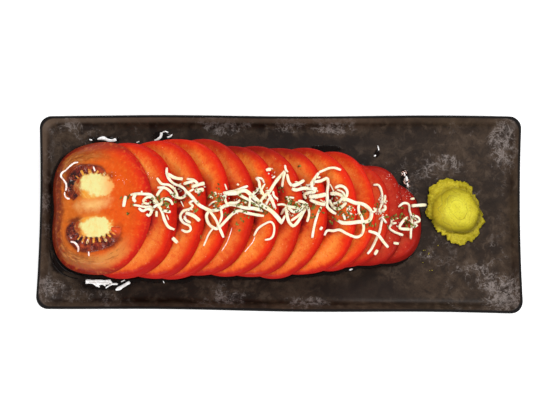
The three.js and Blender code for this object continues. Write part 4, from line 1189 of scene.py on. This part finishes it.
# width, then the way of the strand, in picture units of 0.55 mm
shredRoutes = [
    (3.0, 126, 196, 125, 201, 124, 207),
    (2.6, 131, 195, 136, 194, 144, 194, 151, 195, 155, 199, 159, 206, 162, 211, 165, 220, 169, 227,
     175, 230),
    (2.0, 142, 191, 142, 194),
    (2.8, 136, 194, 134, 199, 136, 202),
    (2.0, 134, 205, 140, 206, 145, 207, 151, 207, 154, 211),
    (2.4, 139, 208, 143, 211, 148, 209, 152, 211, 149, 216, 147, 214),
    (2.4, 144, 203, 144, 200, 149, 197, 153, 199, 156, 204),
    (2.0, 144, 203, 149, 204, 151, 202),
    (2.2, 157, 211, 157, 217),
    (2.4, 154, 208, 158, 205, 162, 204, 162, 200, 167, 199, 171, 201, 173, 205),
    (2.6, 167, 204, 168, 208),
    (2.6, 164, 211, 171, 212),
    (2.4, 157, 196, 160, 191, 163, 188, 165, 187),
    (2.4, 158, 188, 165, 188, 170, 191, 173, 195, 178, 198, 182, 198, 186, 195, 186, 191, 182, 187,
     174, 184, 170, 180, 167, 174, 167, 168),
    (2.4, 157, 178, 162, 184, 169, 185, 174, 189, 177, 194, 178, 198),
    (3.0, 168, 174, 174, 178, 183, 179),
    (2.0, 187, 179, 195, 180),
    (2.6, 184, 184, 191, 182, 195, 181, 198, 184, 205, 185),
    (2.8, 192, 187, 205, 184),
    (3.6, 195, 191, 204, 190),
    (2.0, 188, 193, 194, 189),
    (3.0, 186, 191, 193, 198, 198, 204, 204, 208, 212, 211, 220, 209, 225, 206, 232, 205, 238, 206, 245, 208,
     254, 209, 263, 211),
    (2.4, 194, 201, 190, 203, 193, 206, 190, 209, 184, 211, 181, 215, 181, 219, 184, 223, 190, 226,
     191, 230, 187, 232, 182, 230),
    (3.0, 186, 213, 194, 216, 200, 221),
    (2.4, 185, 216, 186, 220, 191, 223),
    (1.1, 167, 215, 169, 220),
    (1.0, 181, 201, 184, 207),
    (3.0, 173, 238, 178, 243),
    (2.4, 224, 207, 230, 204, 237, 203, 240, 200),
    (2.0, 221, 209, 222, 216, 219, 224, 217, 228),
    (2.8, 210, 211, 207, 216, 208, 222, 212, 227, 217, 229, 221, 226, 227, 220, 233, 214, 239, 211, 247, 213,
     254, 215, 264, 216),
    (2.4, 210, 212, 215, 218, 218, 224, 221, 231, 224, 238),
    (1.4, 214, 228, 209, 235, 204, 246),
    (1.5, 209, 206, 212, 203, 216, 201),
    (2.4, 215, 192, 216, 197),
    (2.0, 209, 196, 213, 198),
    (2.4, 223, 193, 232, 192, 240, 189, 248, 186),
    (1.4, 225, 184, 227, 190),
    (3.4, 224, 194, 238, 193, 242, 191, 246, 191, 252, 196, 257, 201, 263, 206, 271, 211, 277, 217,
     282, 224),
    (2.0, 224, 195, 226, 202, 228, 206),
    (2.6, 238, 194, 243, 197, 249, 200, 254, 204, 261, 208),
    (2.0, 250, 196, 250, 202, 249, 208),
    (2.4, 252, 196, 260, 188),
    (2.4, 256, 178, 259, 182, 260, 188, 263, 194, 266, 199),
    (2.0, 257, 178, 262, 179, 264, 183),
    (1.5, 265, 184, 262, 190, 261, 195),
    (1.6, 272, 178, 275, 177),
    (3.0, 285, 171, 279, 178, 273, 186, 270, 191, 265, 196, 261, 201),
    (3.0, 267, 193, 271, 198, 273, 203, 275, 208),
    (2.4, 261, 200, 261, 207),
    (2.0, 270, 197, 266, 205),
    (1.8, 273, 191, 274, 196, 278, 200),
    (2.0, 285, 165, 286, 170, 288, 172),
    (2.4, 285, 172, 283, 180, 282, 187),
    (2.4, 287, 174, 289, 182, 292, 186),
    (3.2, 266, 170, 271, 170),
    (2.0, 254, 236, 258, 229, 265, 224, 271, 222, 274, 226, 273, 236, 270, 239, 265, 240),
    (2.0, 277, 205, 284, 205, 289, 208),
    (1.6, 286, 197, 294, 198),
    (2.0, 284, 209, 281, 215),
    (2.2, 282, 223, 285, 216),
    (2.2, 237, 184, 239, 185),
    (2.0, 288, 198, 289, 204, 285, 209, 281, 215),
    (2.6, 286, 209, 287, 216, 289, 222, 293, 226, 296, 224, 299, 220, 303, 213, 306, 207, 307, 203),
    (3.0, 288, 208, 294, 212, 301, 209, 304, 205),
    (2.4, 291, 221, 298, 216, 303, 212),
    (2.4, 298, 201, 302, 202, 305, 204, 308, 208, 309, 214, 307, 222),
    (2.8, 288, 207, 298, 208),
    (2.0, 321, 207, 317, 216, 314, 227, 312, 238),
    (2.4, 322, 227, 320, 230),
    (3.0, 292, 186, 298, 184, 304, 181),
    (2.8, 292, 189, 296, 190, 304, 189, 312, 189, 317, 189),
    (2.0, 307, 187, 310, 184),
    (2.8, 319, 173, 315, 178, 312, 183, 312, 188, 315, 192, 308, 193, 304, 195, 306, 199),
    (2.0, 319, 173, 324, 171, 330, 168, 335, 168, 341, 170),
    (1.8, 317, 175, 318, 178, 320, 177),
    (2.6, 314, 182, 321, 181, 327, 179, 328, 184, 327, 192, 327, 201, 327, 207, 332, 212, 336, 214),
    (3.4, 309, 197, 319, 196, 326, 195),
    (2.8, 310, 200, 317, 203, 325, 205),
    (3.2, 330, 194, 337, 194, 345, 197),
    (2.4, 335, 188, 340, 186, 345, 188, 347, 192, 346, 197, 341, 199),
    (1.5, 337, 190, 342, 192, 345, 196),
    (2.8, 329, 200, 332, 206, 337, 209, 343, 206, 346, 202),
    (2.0, 333, 204, 339, 203, 341, 199),
    (3.0, 340, 200, 347, 200, 355, 203, 362, 205, 368, 208, 371, 212, 370, 219, 366, 222, 358, 223,
     350, 223, 342, 223, 338, 221),
    (2.6, 358, 205, 358, 212, 361, 218, 362, 223, 363, 229, 361, 235, 356, 238, 347, 234, 339, 230, 333, 231,
     327, 231, 324, 236),
    (1.6, 350, 206, 347, 209, 348, 213, 352, 214),
    (2.0, 343, 214, 345, 220),
    (1.2, 330, 184, 334, 192),
    (2.0, 373, 185, 378, 185, 381, 190, 382, 197, 381, 205, 379, 210, 380, 213),
    (2.0, 385, 195, 384, 201, 381, 203),
    (2.4, 384, 205, 385, 209, 381, 211),
    (1.8, 371, 212, 374, 212, 375, 210, 373, 208),
    (2.2, 383, 216, 381, 223, 379, 232, 375, 241, 371, 249, 367, 254),
    (2.0, 381, 217, 386, 223),
    (2.4, 368, 231, 376, 235, 382, 241, 387, 248),
    (2.8, 377, 250, 374, 255),
    (2.4, 391, 219, 391, 224, 389, 228, 394, 232, 402, 236),
    (2.0, 391, 224, 396, 223),
    (2.4, 407, 218, 403, 221, 399, 228, 409, 230),
    (2.2, 398, 207, 403, 204, 408, 205, 409, 210, 411, 217, 411, 224, 410, 232, 410, 239),
    (2.0, 412, 216, 417, 217, 419, 221, 413, 224, 416, 226, 412, 228),
    (3.2, 411, 206, 425, 206),
    (2.0, 410, 199, 414, 199),
    (2.4, 393, 243, 398, 244),
]
crumbLook = {"size": (0.28, 0.62), "stretch": (0.8, 2.2), "width": 0.8, "height": 0.55, "lift": 0.2}
# where fine crumbs lie: middle and spread in picture units, and how many
crumbPlaces = [
    (150, 204, 9, 16), (178, 190, 9, 10), (198, 188, 7, 8), (188, 214, 7, 8), (222, 202, 9, 20),
    (240, 204, 10, 18), (262, 196, 10, 30), (272, 205, 7, 14), (294, 208, 9, 26), (312, 190, 8, 20),
    (320, 200, 9, 14), (340, 196, 9, 22), (335, 210, 7, 8), (350, 212, 8, 8), (383, 200, 5, 18),
    (382, 214, 5, 12), (376, 212, 5, 6), (396, 222, 6, 6), (412, 222, 6, 10), (272, 172, 5, 5),
    (300, 186, 6, 8),
]


def nearby(gridX, gridY, spread):  # a random place of the picture within that spread
    bearing, reach = random.uniform(0, 2 * math.pi), spread * math.sqrt(random.random())
    return gridX + reach * math.cos(bearing), gridY + reach * math.sin(bearing)


def curve(corners, step):  # even steps along a smooth line through the corners
    path = [Vector((x, y, 0)) for x, y in corners]
    path = [2 * path[0] - path[1], *path, 2 * path[-1] - path[-2]]
    fine = []
    for p0, p1, p2, p3 in zip(path, path[1:], path[2:], path[3:]):
        t1 = max(1e-4, (p1 - p0).length ** 0.5)
        t2 = t1 + max(1e-4, (p2 - p1).length ** 0.5)
        t3 = t2 + max(1e-4, (p3 - p2).length ** 0.5)
        for i in range(shred["curveCuts"]):
            t = mix(t1, t2, i / shred["curveCuts"])
            a1 = p0.lerp(p1, t / t1)
            a2 = p1.lerp(p2, (t - t1) / (t2 - t1))
            a3 = p2.lerp(p3, (t - t2) / (t3 - t2))
            b1 = a1.lerp(a2, t / t2)
            b2 = a2.lerp(a3, (t - t1) / (t3 - t1))
            fine.append(b1.lerp(b2, (t - t1) / (t2 - t1)))
    fine.append(path[-2])
    lengths = [0.0]
    for a, b in zip(fine, fine[1:]):
        lengths.append(lengths[-1] + (b - a).length)
    count = max(3, round(lengths[-1] / step))
    even, at = [], 0
    for i in range(count + 1):
        wanted = lengths[-1] * i / count
        while at < len(fine) - 2 and lengths[at + 1] < wanted:
            at += 1
        share = (wanted - lengths[at]) / max(1e-6, lengths[at + 1] - lengths[at])
        even.append(fine[at].lerp(fine[at + 1], clamp(share)))
    return even, lengths[-1] / count


def cellAt(x, y):
    return round(x / shred["cell"]), round(y / shred["cell"])


def draped(corners, width, thickness, heap, surface=None):
    # a route laid over the food and over what already lies there
    plan, gap = curve(corners, shred["step"])
    reach = shred["reach"] * width / 2
    lift = thickness / 2 + shred["clearance"]
    ground = []
    for p in plan:
        bare = max(topAt(p.x + dx, p.y + dy, surface)[0]
                   for dx in (-reach, 0, reach) for dy in (-reach, 0, reach))
        ground.append(max(bare, heap.get(cellAt(p.x, p.y), 0) - shred["sink"] * thickness))
    points = []
    hold = shred["holdSteps"]
    for i, p in enumerate(plan):
        near = range(max(0, i - hold), min(len(plan), i + hold + 1))
        held = max(ground[k] - shred["sag"] * ((i - k) * gap) ** 2 for k in near)
        points.append(Vector((p.x, p.y, held + lift)))
    for point in points:
        column, line = cellAt(point.x, point.y)
        for key in ((column + i, line + j) for i in (-1, 0, 1) for j in (-1, 0, 1)):
            heap[key] = max(heap.get(key, 0), point.z + thickness / 2)
    return points


def addStrand(bm, points, width, thickness, seed, uneven=shred["unevenness"]):
    # a soft-edged strip, extruded from end to end
    frames = []
    for i, point in enumerate(points):
        forward = (points[min(len(points) - 1, i + 1)] - points[max(0, i - 1)]).normalized()
        side = Vector((forward.y, -forward.x, 0)).normalized()
        up = side.cross(forward)
        share = i / (len(points) - 1)
        taper = mix(shred["endTaper"], 1, smooth(0, 0.06, min(share, 1 - share)))
        wide = width * taper * (1 + uneven * rough(point.x, point.y, point.z, 2.6, seed))
        swell = 1 + shred["unevenness"] * rough(point.x, point.y, point.z, 2.1, seed + 4)
        high = thickness * taper * swell
        turn = Matrix((side, up, forward)).transposed().to_4x4()
        roll = Matrix.Rotation(shred["twist"] * rough(point.x, point.y, 0, 9, seed + 7), 4, "Z")
        frames.append(Matrix.Translation(point) @ turn @ roll @ Matrix.Diagonal((wide / 2, high / 2, 1, 1)))
    made = bmesh.ops.create_circle(bm, cap_ends=True, segments=shred["sides"], radius=1)["verts"]
    for vert in made:
        square = max(abs(vert.co.x), abs(vert.co.y))
        vert.co *= mix(1, 1 / square, shred["squareness"])
    bmesh.ops.transform(bm, matrix=frames[0], verts=made)
    cap = made[0].link_faces[0]
    for i in range(1, len(frames)):
        grown = bmesh.ops.extrude_face_region(bm, geom=[cap])["geom"]
        if i > 1:
            bmesh.ops.delete(bm, geom=[cap], context="FACES_ONLY")
        verts = [item for item in grown if isinstance(item, bmesh.types.BMVert)]
        cap = next(item for item in grown if isinstance(item, bmesh.types.BMFace))
        bmesh.ops.transform(bm, matrix=frames[i] @ frames[i - 1].inverted(), verts=verts)


def pairs(flat):
    return list(zip(flat[::2], flat[1::2]))


def makeCheese(finish):
    random.seed(4)
    bm = bmesh.new()
    heap = {}
    for index, (wide, *route) in enumerate(shredRoutes):
        width = wide * sight["unit"] * random.uniform(*shred["vary"])
        vary = random.uniform(*shred["thicknessVary"])
        thickness = max(shred["thinnest"], shred["thickness"] * min(width, shred["thickest"]) * vary)
        corners = [seenAt(x, y) for x, y in pairs(route)]
        addStrand(bm, draped(corners, width, thickness, heap), width, thickness, 1.3 * index)
    nodes = sorted(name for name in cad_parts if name.startswith("cheese_shred"))
    return finishPiece(bm, "shreddedCheese", finish, nodes)


def makeCrumbs(finish, tree):
    random.seed(8)
    bm = bmesh.new()
    for gridX, gridY, spread, count in crumbPlaces:
        for _ in range(count):
            spot = seenAt(*nearby(gridX, gridY, spread), tree)
            size = random.uniform(*crumbLook["size"])
            length = size * random.uniform(*crumbLook["stretch"])
            shape = Matrix.Diagonal((length, size * crumbLook["width"], size * crumbLook["height"], 1))
            place = Matrix.Translation((*spot, topAt(*spot, tree)[0] + crumbLook["lift"] * size))
            matrix = place @ Matrix.Rotation(random.uniform(0, 3.1), 4, "Z") @ shape
            bmesh.ops.create_icosphere(bm, subdivisions=1, radius=1, matrix=matrix)
    return finishPiece(bm, "cheeseCrumbs", finish)


def cheeseFinish():
    finish = Finish("paleCheese", Roughness=0.42, IOR=1.45, Subsurface_Weight=0.2, Subsurface_Scale=0.0015,
                    Subsurface_Radius=(1.0, 0.8, 0.45))
    clouds, grain = finish.noise(4, 4, 0.6), finish.noise(0.7, 3, 0.6)
    colour = finish.blend(clouds.ramp(0.35, 0.7), srgb(255, 244, 204), srgb(255, 253, 232))
    finish.colour(finish.blend(grain.ramp(0.6, 0.85, 0.0, 0.3), colour, srgb(238, 208, 140)))
    finish.drive("Roughness", 0.34 + 0.24 * grain)
    finish.relief(grain, 0.12)
    return finish


paleCheese = cheeseFinish()
cheese = makeCheese(paleCheese)
makeCrumbs(paleCheese, surfaceTree(slicePieces + [cheese]))
print("cheese made,", len(cheese.data.polygons), "faces")


# dried herb flakes, each a small curled leaf
herbs = {
    "size": (0.4, 0.95),  # half length
    "more": 1.5,  # flakes for each one counted in the places below
    "slim": (0.4, 0.75),  # width as a share of the length
    "tilt": 0.3,
    "curl": 0.25,
    "curlVary": (0.4, 1.2),
    "jagged": (0.7, 1.15),  # how far its corners reach
    "lift": 0.12,
    "thickness": 0.14,
    "sides": 7,
}
# middle and spread in picture units, and how many
herbPlaces = [
    (121, 197, 1, 1), (130, 197, 2, 2), (132, 206, 2, 2), (129, 213, 2, 2), (152, 202, 4, 7),
    (158, 198, 4, 5), (166, 202, 4, 10), (166, 208, 4, 7), (172, 197, 4, 5), (176, 203, 2, 2),
    (187, 186, 2, 4), (186, 198, 4, 4), (199, 193, 4, 4), (199, 202, 2, 3), (195, 210, 4, 4),
    (213, 197, 5, 10), (221, 199, 4, 14), (216, 206, 4, 8), (219, 187, 3, 2), (226, 215, 3, 5),
    (238, 209, 5, 5), (243, 203, 5, 12), (253, 202, 3, 8), (240, 197, 3, 3), (247, 214, 5, 5),
    (244, 218, 4, 3), (238, 223, 3, 3), (238, 230, 2, 1), (201, 237, 1, 1), (259, 206, 5, 6),
    (264, 211, 4, 4), (258, 192, 3, 3), (271, 207, 3, 3), (282, 190, 4, 5), (287, 199, 3, 5),
    (293, 202, 4, 8), (298, 208, 5, 12), (303, 206, 4, 6), (311, 206, 4, 8), (313, 216, 3, 5),
    (290, 203, 2, 3), (300, 166, 1, 1), (321, 211, 4, 4), (333, 221, 4, 5), (339, 211, 4, 8),
    (333, 199, 4, 3), (337, 205, 4, 5), (350, 217, 4, 9), (345, 213, 4, 5), (363, 210, 3, 7),
    (363, 215, 3, 6), (349, 207, 3, 3), (366, 226, 3, 2), (372, 223, 4, 5), (377, 206, 3, 4),
    (371, 225, 2, 2), (386, 227, 2, 2), (394, 217, 3, 6), (402, 216, 3, 6), (407, 223, 4, 8),
    (412, 226, 3, 5), (402, 207, 2, 2), (413, 217, 3, 5), (386, 219, 3, 3),
]


def makeHerbs(finish, tree):
    random.seed(21)
    bm = bmesh.new()
    shade = layer(bm, "shade")
    for gridX, gridY, spread, count in herbPlaces:
        for _ in range(round(count * herbs["more"])):
            spot = seenAt(*nearby(gridX, gridY, spread), tree)
            z, normal = topAt(*spot, tree)
            size = random.uniform(*herbs["size"])
            tiltX = random.uniform(-herbs["tilt"], herbs["tilt"])
            tiltY = random.uniform(-herbs["tilt"], herbs["tilt"])
            tilt = Vector((normal.x + tiltX, normal.y + tiltY, normal.z))
            turn = tilt.normalized().to_track_quat("Z", "Y").to_matrix().to_4x4()
            spin = Matrix.Rotation(random.uniform(0, 2 * math.pi), 4, "Z")
            shape = Matrix.Diagonal((size, size * random.uniform(*herbs["slim"]), 1, 1))
            place = Matrix.Translation((*spot, z + herbs["lift"])) @ turn @ spin @ shape
            made = bmesh.ops.create_circle(bm, cap_ends=True, segments=herbs["sides"], radius=1)["verts"]
            tint = random.random()
            for vert in made:
                vert.co *= random.uniform(*herbs["jagged"])
                vert.co.z = herbs["curl"] * vert.co.x ** 2 * random.uniform(*herbs["curlVary"])
                vert[shade] = tint
            bmesh.ops.transform(bm, matrix=place, verts=made)
    bmesh.ops.recalc_face_normals(bm, faces=bm.faces)
    bmesh.ops.solidify(bm, geom=list(bm.faces), thickness=herbs["thickness"])
    return finishPiece(bm, "driedHerbs", finish)


def herbFinish():
    finish = Finish("driedHerb", Roughness=0.7, IOR=1.4)
    shade = finish.attribute("shade")
    colour = shade.colours((0.0, srgb(84, 84, 20)), (0.45, srgb(120, 128, 40)), (0.8, srgb(166, 168, 74)),
                           (1.0, srgb(110, 72, 28)))
    finish.colour(finish.blend(finish.noise(0.6, 2).ramp(0.4, 0.7, 0.0, 0.5), colour, srgb(48, 46, 14)))
    finish.relief(finish.noise(0.3, 2), 0.05)
    return finish


makeHerbs(herbFinish(), surfaceTree(slicePieces + [cheese]))
print("herbs made")


# the dressing is a thin film round the slices, dark so that where it hugs them it is also painted shadow
dressing = {
    "cell": 0.7,
    "reach": 2.0,  # how far it spreads from the slices
    "depth": 0.5,
    "under": 4.0,  # how far it goes on below the slices
    "furthest": 22,  # nothing is made further out than this
    "half": (130.0, 49.0),  # of the grid that it is cut from
    "rimPoints": 120,
    "ripple": 0.05,
}
# thicker pools in picture units, rippled ones that catch the light and flat dark ones of painted shadow:
# middle, half sizes, depth, ripple
pools = [
    (102, 139, 16, 3, 0.6, 0.2),
    (162, 136, 9, 5, 0.6, 0.2),
    (377, 153, 3, 4, 0.5, 0.2),
    (405, 178, 4, 9, 0.5, 0.2),
    (106, 284, 24, 6, 0.6, 0.2),
    (67, 267, 8, 5, 0.4, 0.05),
    (352, 268, 5, 3, 0.5, 0.2),
    (326, 149, 16, 4, 0.3, 0.05),
    (60, 262, 7, 12, 0.3, 0.05),
]


def gridSpot(x, y):  # a picture place put on the floor of the plate
    drop = plate["height"] - plate["wellHeight"]
    scale = sight["unit"] * (1 + drop / view["distance"])
    right, down = turned(x, y)
    return right * scale, view["aim"][1] - down * scale + drop * math.tan(sight["lean"])


def rimTree():  # the lower edges of all the slices, to ask how far away the nearest one is
    rim = []
    for row in sliceRows:
        for i in range(dressing["rimPoints"]):
            angle = 2 * math.pi * i / dressing["rimPoints"]
            edge = edgeFactor(row, angle)
            rim.append(slicePoint(row, edge * math.cos(angle) * row["halfLength"],
                                  edge * math.sin(angle) * row["halfWidth"], 0))
    tree = kdtree.KDTree(len(rim))
    for i, point in enumerate(rim):
        tree.insert((point.x, point.y, 0), i)
    tree.balance()
    return tree


def makeDressingAndShadow(finish):
    tree = rimTree()
    halfX, halfY = dressing["half"]
    bm = bmesh.new()
    bmesh.ops.create_grid(bm, x_segments=round(2 * halfX / dressing["cell"]),
                          y_segments=round(2 * halfY / dressing["cell"]), size=1,
                          matrix=Matrix.Diagonal((halfX, halfY, 1, 1)))
    film = layer(bm, "film")
    gone = []
    for vert in bm.verts:
        x, y = vert.co.x, vert.co.y
        distance = tree.find((x, y, 0))[2]
        if topAt(x, y)[0] > plate["wellHeight"] + 0.01:  # under a slice
            distance = -distance
        if distance < -dressing["under"] or distance > dressing["furthest"]:
            gone.append(vert)
            continue
        reach = dressing["reach"] * (1 + 0.5 * rough(x, y, 0, 17, 2.0) + 0.25 * rough(x, y, 0, 6, 3.0))
        reach *= mix(1, 0.5, smooth(60, 80, x))
        thick = 1 - distance / reach
        deep, ripple = dressing["depth"], dressing["ripple"]
        for gridX, gridY, halfLong, halfWide, pool, wave in pools:
            px, py = gridSpot(gridX, gridY)
            long, wide = halfLong * sight["unit"], halfWide * sight["unit"]
            near = 1.25 - math.hypot((x - px) / long, (y - py) / wide) + 0.35 * rough(x, y, 0, 2.4, 5.0)
            thick = max(thick, near)
            share = smooth(0, 0.5, near)
            deep, ripple = mix(deep, pool, share), max(ripple, wave * share)
        vert[film] = clamp(thick)
        if thick < -0.15:
            gone.append(vert)
            continue
        waves = rough(0.5 * x, y, 0, 1.5, 6.0) + 0.5 * rough(x, y, 0, 0.9, 7.0)
        ground = max(plate["wellHeight"], topAt(x, y, plateTop)[0])
        vert.co.z = ground + 0.06 + deep * clamp(thick) ** 0.5 + ripple * waves * smooth(0, 0.3, thick)
    bmesh.ops.delete(bm, geom=gone, context="VERTS")
    return finishPiece(bm, "dressingAndShadowFilm", finish, recalculate=False)


# near-black glossy strands: painted shadow beside the first slice
def shadowArcFinish():
    finish = Finish("shadowArcDark", Roughness=0.3, IOR=1.4, Specular_IOR_Level=0.2)
    finish.colour(finish.blend(finish.noise(3, 3), srgb(8, 4, 3), srgb(24, 13, 9)))
    finish.relief(finish.noise(1.5, 3), 0.1)
    return finish


def dressingAndShadowFinish():
    finish = Finish("dressingAndShadowFilm", Roughness=0.1, IOR=1.4, Specular_IOR_Level=0.25)
    film = finish.attribute("film")
    # near black: partly the dressing, partly painted shadow round the slices
    finish.colour(finish.blend(finish.noise(6, 3), srgb(10, 4, 2), srgb(26, 13, 8)))
    ragged = film + 0.5 * (finish.noise(4, 4, 0.6) - 0.5)
    finish.drive("Alpha", ragged.ramp(0.0, 0.55) * 0.88)
    finish.drive("Roughness", 0.08 + 0.1 * finish.noise(3, 3))
    finish.relief(finish.noise(2.2, 3), 0.1)
    return finish


# painted highlights on the dressing: pale, slightly glowing strands on the plate, width and then the way in
# picture units
dressingHighlightRoutes = [
    (2.6, 97, 139, 101, 138, 105, 139, 109, 140, 113, 140, 116, 139),
    (1.4, 100, 137, 104, 137, 108, 139),
    (1.1, 89, 139, 92, 140),
    (2.0, 154, 140, 157, 139, 160, 137, 161, 135, 161, 132),
    (1.1, 162, 132, 165, 131, 168, 132),
    (1.7, 167, 137, 170, 136, 172, 134),
    (1.0, 136, 142, 139, 141),
    (2.6, 87, 281, 94, 281, 103, 281, 112, 281),
    (2.4, 90, 283, 97, 283, 105, 283, 111, 283),
    (1.5, 87, 283, 94, 283, 98, 285, 101, 287),
    (1.1, 99, 285, 104, 284, 107, 286),
    (1.7, 111, 281, 113, 284, 110, 286, 107, 288),
    (1.5, 110, 285, 115, 284, 119, 284),
    (2.8, 117, 290, 121, 288, 126, 285, 131, 282),
    (1.0, 122, 282, 126, 280),
    (1.5, 148, 276, 152, 276, 156, 277),
    (0.9, 164, 281, 165, 283),
    (1.4, 349, 270, 352, 269),
    (1.5, 374, 156, 376, 155),
    (0.9, 378, 145, 379, 150),
    (1.8, 406, 176, 407, 181),
    (1.2, 404, 172, 405, 176),
    (1.2, 407, 183, 408, 187),
]
# painted shadow: dark glossy arcs on the plate beside the first slice, written the same way
shadowArcRoutes = [
    (1.4, 54, 243, 55, 251, 58, 259, 63, 266, 70, 271, 80, 275, 90, 277),
    (1.1, 51, 250, 53, 259, 57, 267, 63, 273, 71, 277, 79, 279),
]
# painted highlights: pale, slightly glowing beads and threads on the jelly and the slices, width and then
# the way in picture units
glintRoutes = [
    (1.6, 78, 162, 74, 163, 70, 166, 66, 170),
    (1.8, 66, 170, 62, 173, 61, 176, 64, 180, 66, 183, 67, 188, 66, 191),
    (1.5, 65, 192, 65, 195, 67, 198, 70, 199),
    (1.8, 72, 242, 76, 243, 79, 246, 80, 249, 79, 252),
    (1.6, 90, 252, 90, 256),
    (1.4, 94, 167, 95, 171),
    (1.3, 89, 240, 90, 243),
    (0.7, 232, 228, 230, 235, 227, 243, 222, 251),
    (0.8, 255, 237, 253, 242, 249, 247, 245, 252),
]
# froth that is partly painted sparkle highlight, glowing slightly, and crumbs of mustard: middle and spread
# in picture units, and how many
frothAndSparklePlaces = [
    (389, 176, 4, 10), (404, 191, 6, 12), (409, 196, 4, 6), (400, 199, 5, 7), (396, 186, 4, 5),
    (116, 178, 8, 8), (126, 182, 5, 6), (148, 174, 2, 5), (152, 178, 2, 4), (395, 236, 9, 9),
]
frothAndSparkleOnPlate = [(404, 173, 3, 24), (406, 181, 3, 30), (408, 186, 2, 10)]
speckPlaces = [
    (424, 251, 1.5, 2), (428, 253, 1.5, 2), (422, 262, 1.5, 1), (430, 270, 1.5, 2), (437, 247, 2, 1),
]
small = {
    "frothAndSparkleSize": (0.1, 0.22),  # radius
    "plateFrothAndSparkleSize": (0.16, 0.36),
    "speckSize": (0.2, 0.34),
    "lift": 0.3,  # share of the radius
    "glintThickness": 0.5,  # shares of a glint's width
    "glintLift": 0.3,
}


def makeGlints(name, routes, placed, surface, uneven, finish):
    bm = bmesh.new()
    for index, (wide, *route) in enumerate(routes):
        width = wide * sight["unit"]
        corners = [placed(x, y) for x, y in pairs(route)]
        points = draped(corners, width, small["glintLift"] * width, {}, surface)
        addStrand(bm, points, width, small["glintThickness"] * width, 2.1 * index, uneven)
    finishPiece(bm, name, finish)


def scatter(name, places, placed, surface, sizes, finish):
    bm = bmesh.new()
    for gridX, gridY, spread, count in places:
        for _ in range(count):
            spot = placed(*nearby(gridX, gridY, spread))
            size = random.uniform(*sizes)
            place = Matrix.Translation((*spot, topAt(*spot, surface)[0] + small["lift"] * size))
            bmesh.ops.create_icosphere(bm, subdivisions=1, radius=size, matrix=place)
    finishPiece(bm, name, finish)


# pale strands and beads that also glow: painted highlights
def glintFinish(name, low, high):
    finish = Finish(name, Roughness=0.1, IOR=1.5, Coat_Weight=1.0, Coat_Roughness=0.03,
                    Emission_Strength=0.3)
    colour = finish.blend(finish.noise(1.5, 3).ramp(0.35, 0.65), low, high)
    finish.colour(colour)
    finish.drive("Emission Color", colour)
    finish.drive("Roughness", 0.08 + 0.1 * finish.noise(2, 2))
    return finish


random.seed(15)
wet = surfaceTree([platePiece, makeDressingAndShadow(dressingAndShadowFinish())])
# painted highlight on the jelly and slices
paintedJellyHighlight = glintFinish("paintedJellyHighlight", srgb(226, 190, 178), srgb(252, 244, 238))
# partly froth, partly painted sparkle highlight that glows slightly
frothAndSparkle = glintFinish("frothAndSparkle", srgb(200, 138, 120), srgb(246, 222, 210))
# painted highlight: pale strands that also glow
dressingHighlightLook = glintFinish("paintedDressingHighlight", srgb(225, 220, 216), srgb(255, 255, 255))
wetFood = surfaceTree(slicePieces + jellyPieces)
makeGlints("jellyGlints", glintRoutes, seenAt, wetFood, 0.4, paintedJellyHighlight)
makeGlints("dressingHighlights", dressingHighlightRoutes, gridSpot, wet, 0.9, dressingHighlightLook)
makeGlints("shadowArcs", shadowArcRoutes, gridSpot, wet, 0.6, shadowArcFinish())
scatter("foodFrothAndSparkle", frothAndSparklePlaces, seenAt, food, small["frothAndSparkleSize"], frothAndSparkle)
scatter("plateFrothAndSparkle", frothAndSparkleOnPlate, gridSpot, wet, small["plateFrothAndSparkleSize"], frothAndSparkle)
scatter("mustardSpecks", speckPlaces, gridSpot, plateTop, small["speckSize"], mustardLook)
print("dressing, glints and specks made")


# floor and light
studio = {
    "floor": (0.93, 0.93, 0.93, 1),
    "floorHalf": 4,
    "floorGlow": 0.5,
    # place, length and width in metres, watts
    "key": (0.25, 0.62, 0.78, 0.62, 0.5, 5.2),
    "fill": (0.75, -0.35, 0.7, 0.5, 0.5, 4.4),
    "left": (-0.75, -0.55, 0.6, 0.6, 0.3, 5.2),
    "sky": 0.38,
}


def makeFloor():
    bm = bmesh.new()
    bmesh.ops.create_grid(bm, x_segments=1, y_segments=1, size=studio["floorHalf"])
    mesh = bpy.data.meshes.new("floor")
    bm.to_mesh(mesh)
    bm.free()
    finish = Finish("paleFloor", Roughness=0.9, Emission_Strength=studio["floorGlow"])
    finish.drive("Emission Color", studio["floor"])
    finish.colour(finish.blend(finish.noise(60, 2), (0.92, 0.92, 0.92, 1), studio["floor"]))
    mesh.materials.append(finish.material)
    floor = bpy.data.objects.new("floor", mesh)
    bpy.context.scene.collection.objects.link(floor)


def addLight(name, x, y, z, length, width, watts):
    light = bpy.data.lights.new(name, "AREA")
    light.shape = "RECTANGLE"
    light.size = length
    light.size_y = width
    light.energy = watts
    lamp = bpy.data.objects.new(name, light)
    lamp.location = (x, y, z)
    lamp.rotation_euler = (-Vector((x, y, z))).to_track_quat("-Z", "Y").to_euler()
    bpy.context.scene.collection.objects.link(lamp)


makeFloor()
for lamp in ("key", "fill", "left"):
    addLight(lamp, *studio[lamp])
world = bpy.data.worlds.new("studio")
world.use_nodes = True
world.node_tree.nodes["Background"].inputs[0].default_value = (1, 1, 1, 1)
world.node_tree.nodes["Background"].inputs[1].default_value = studio["sky"]
bpy.context.scene.world = world
bpy.context.scene.view_settings.view_transform = "Standard"
print("studio made")
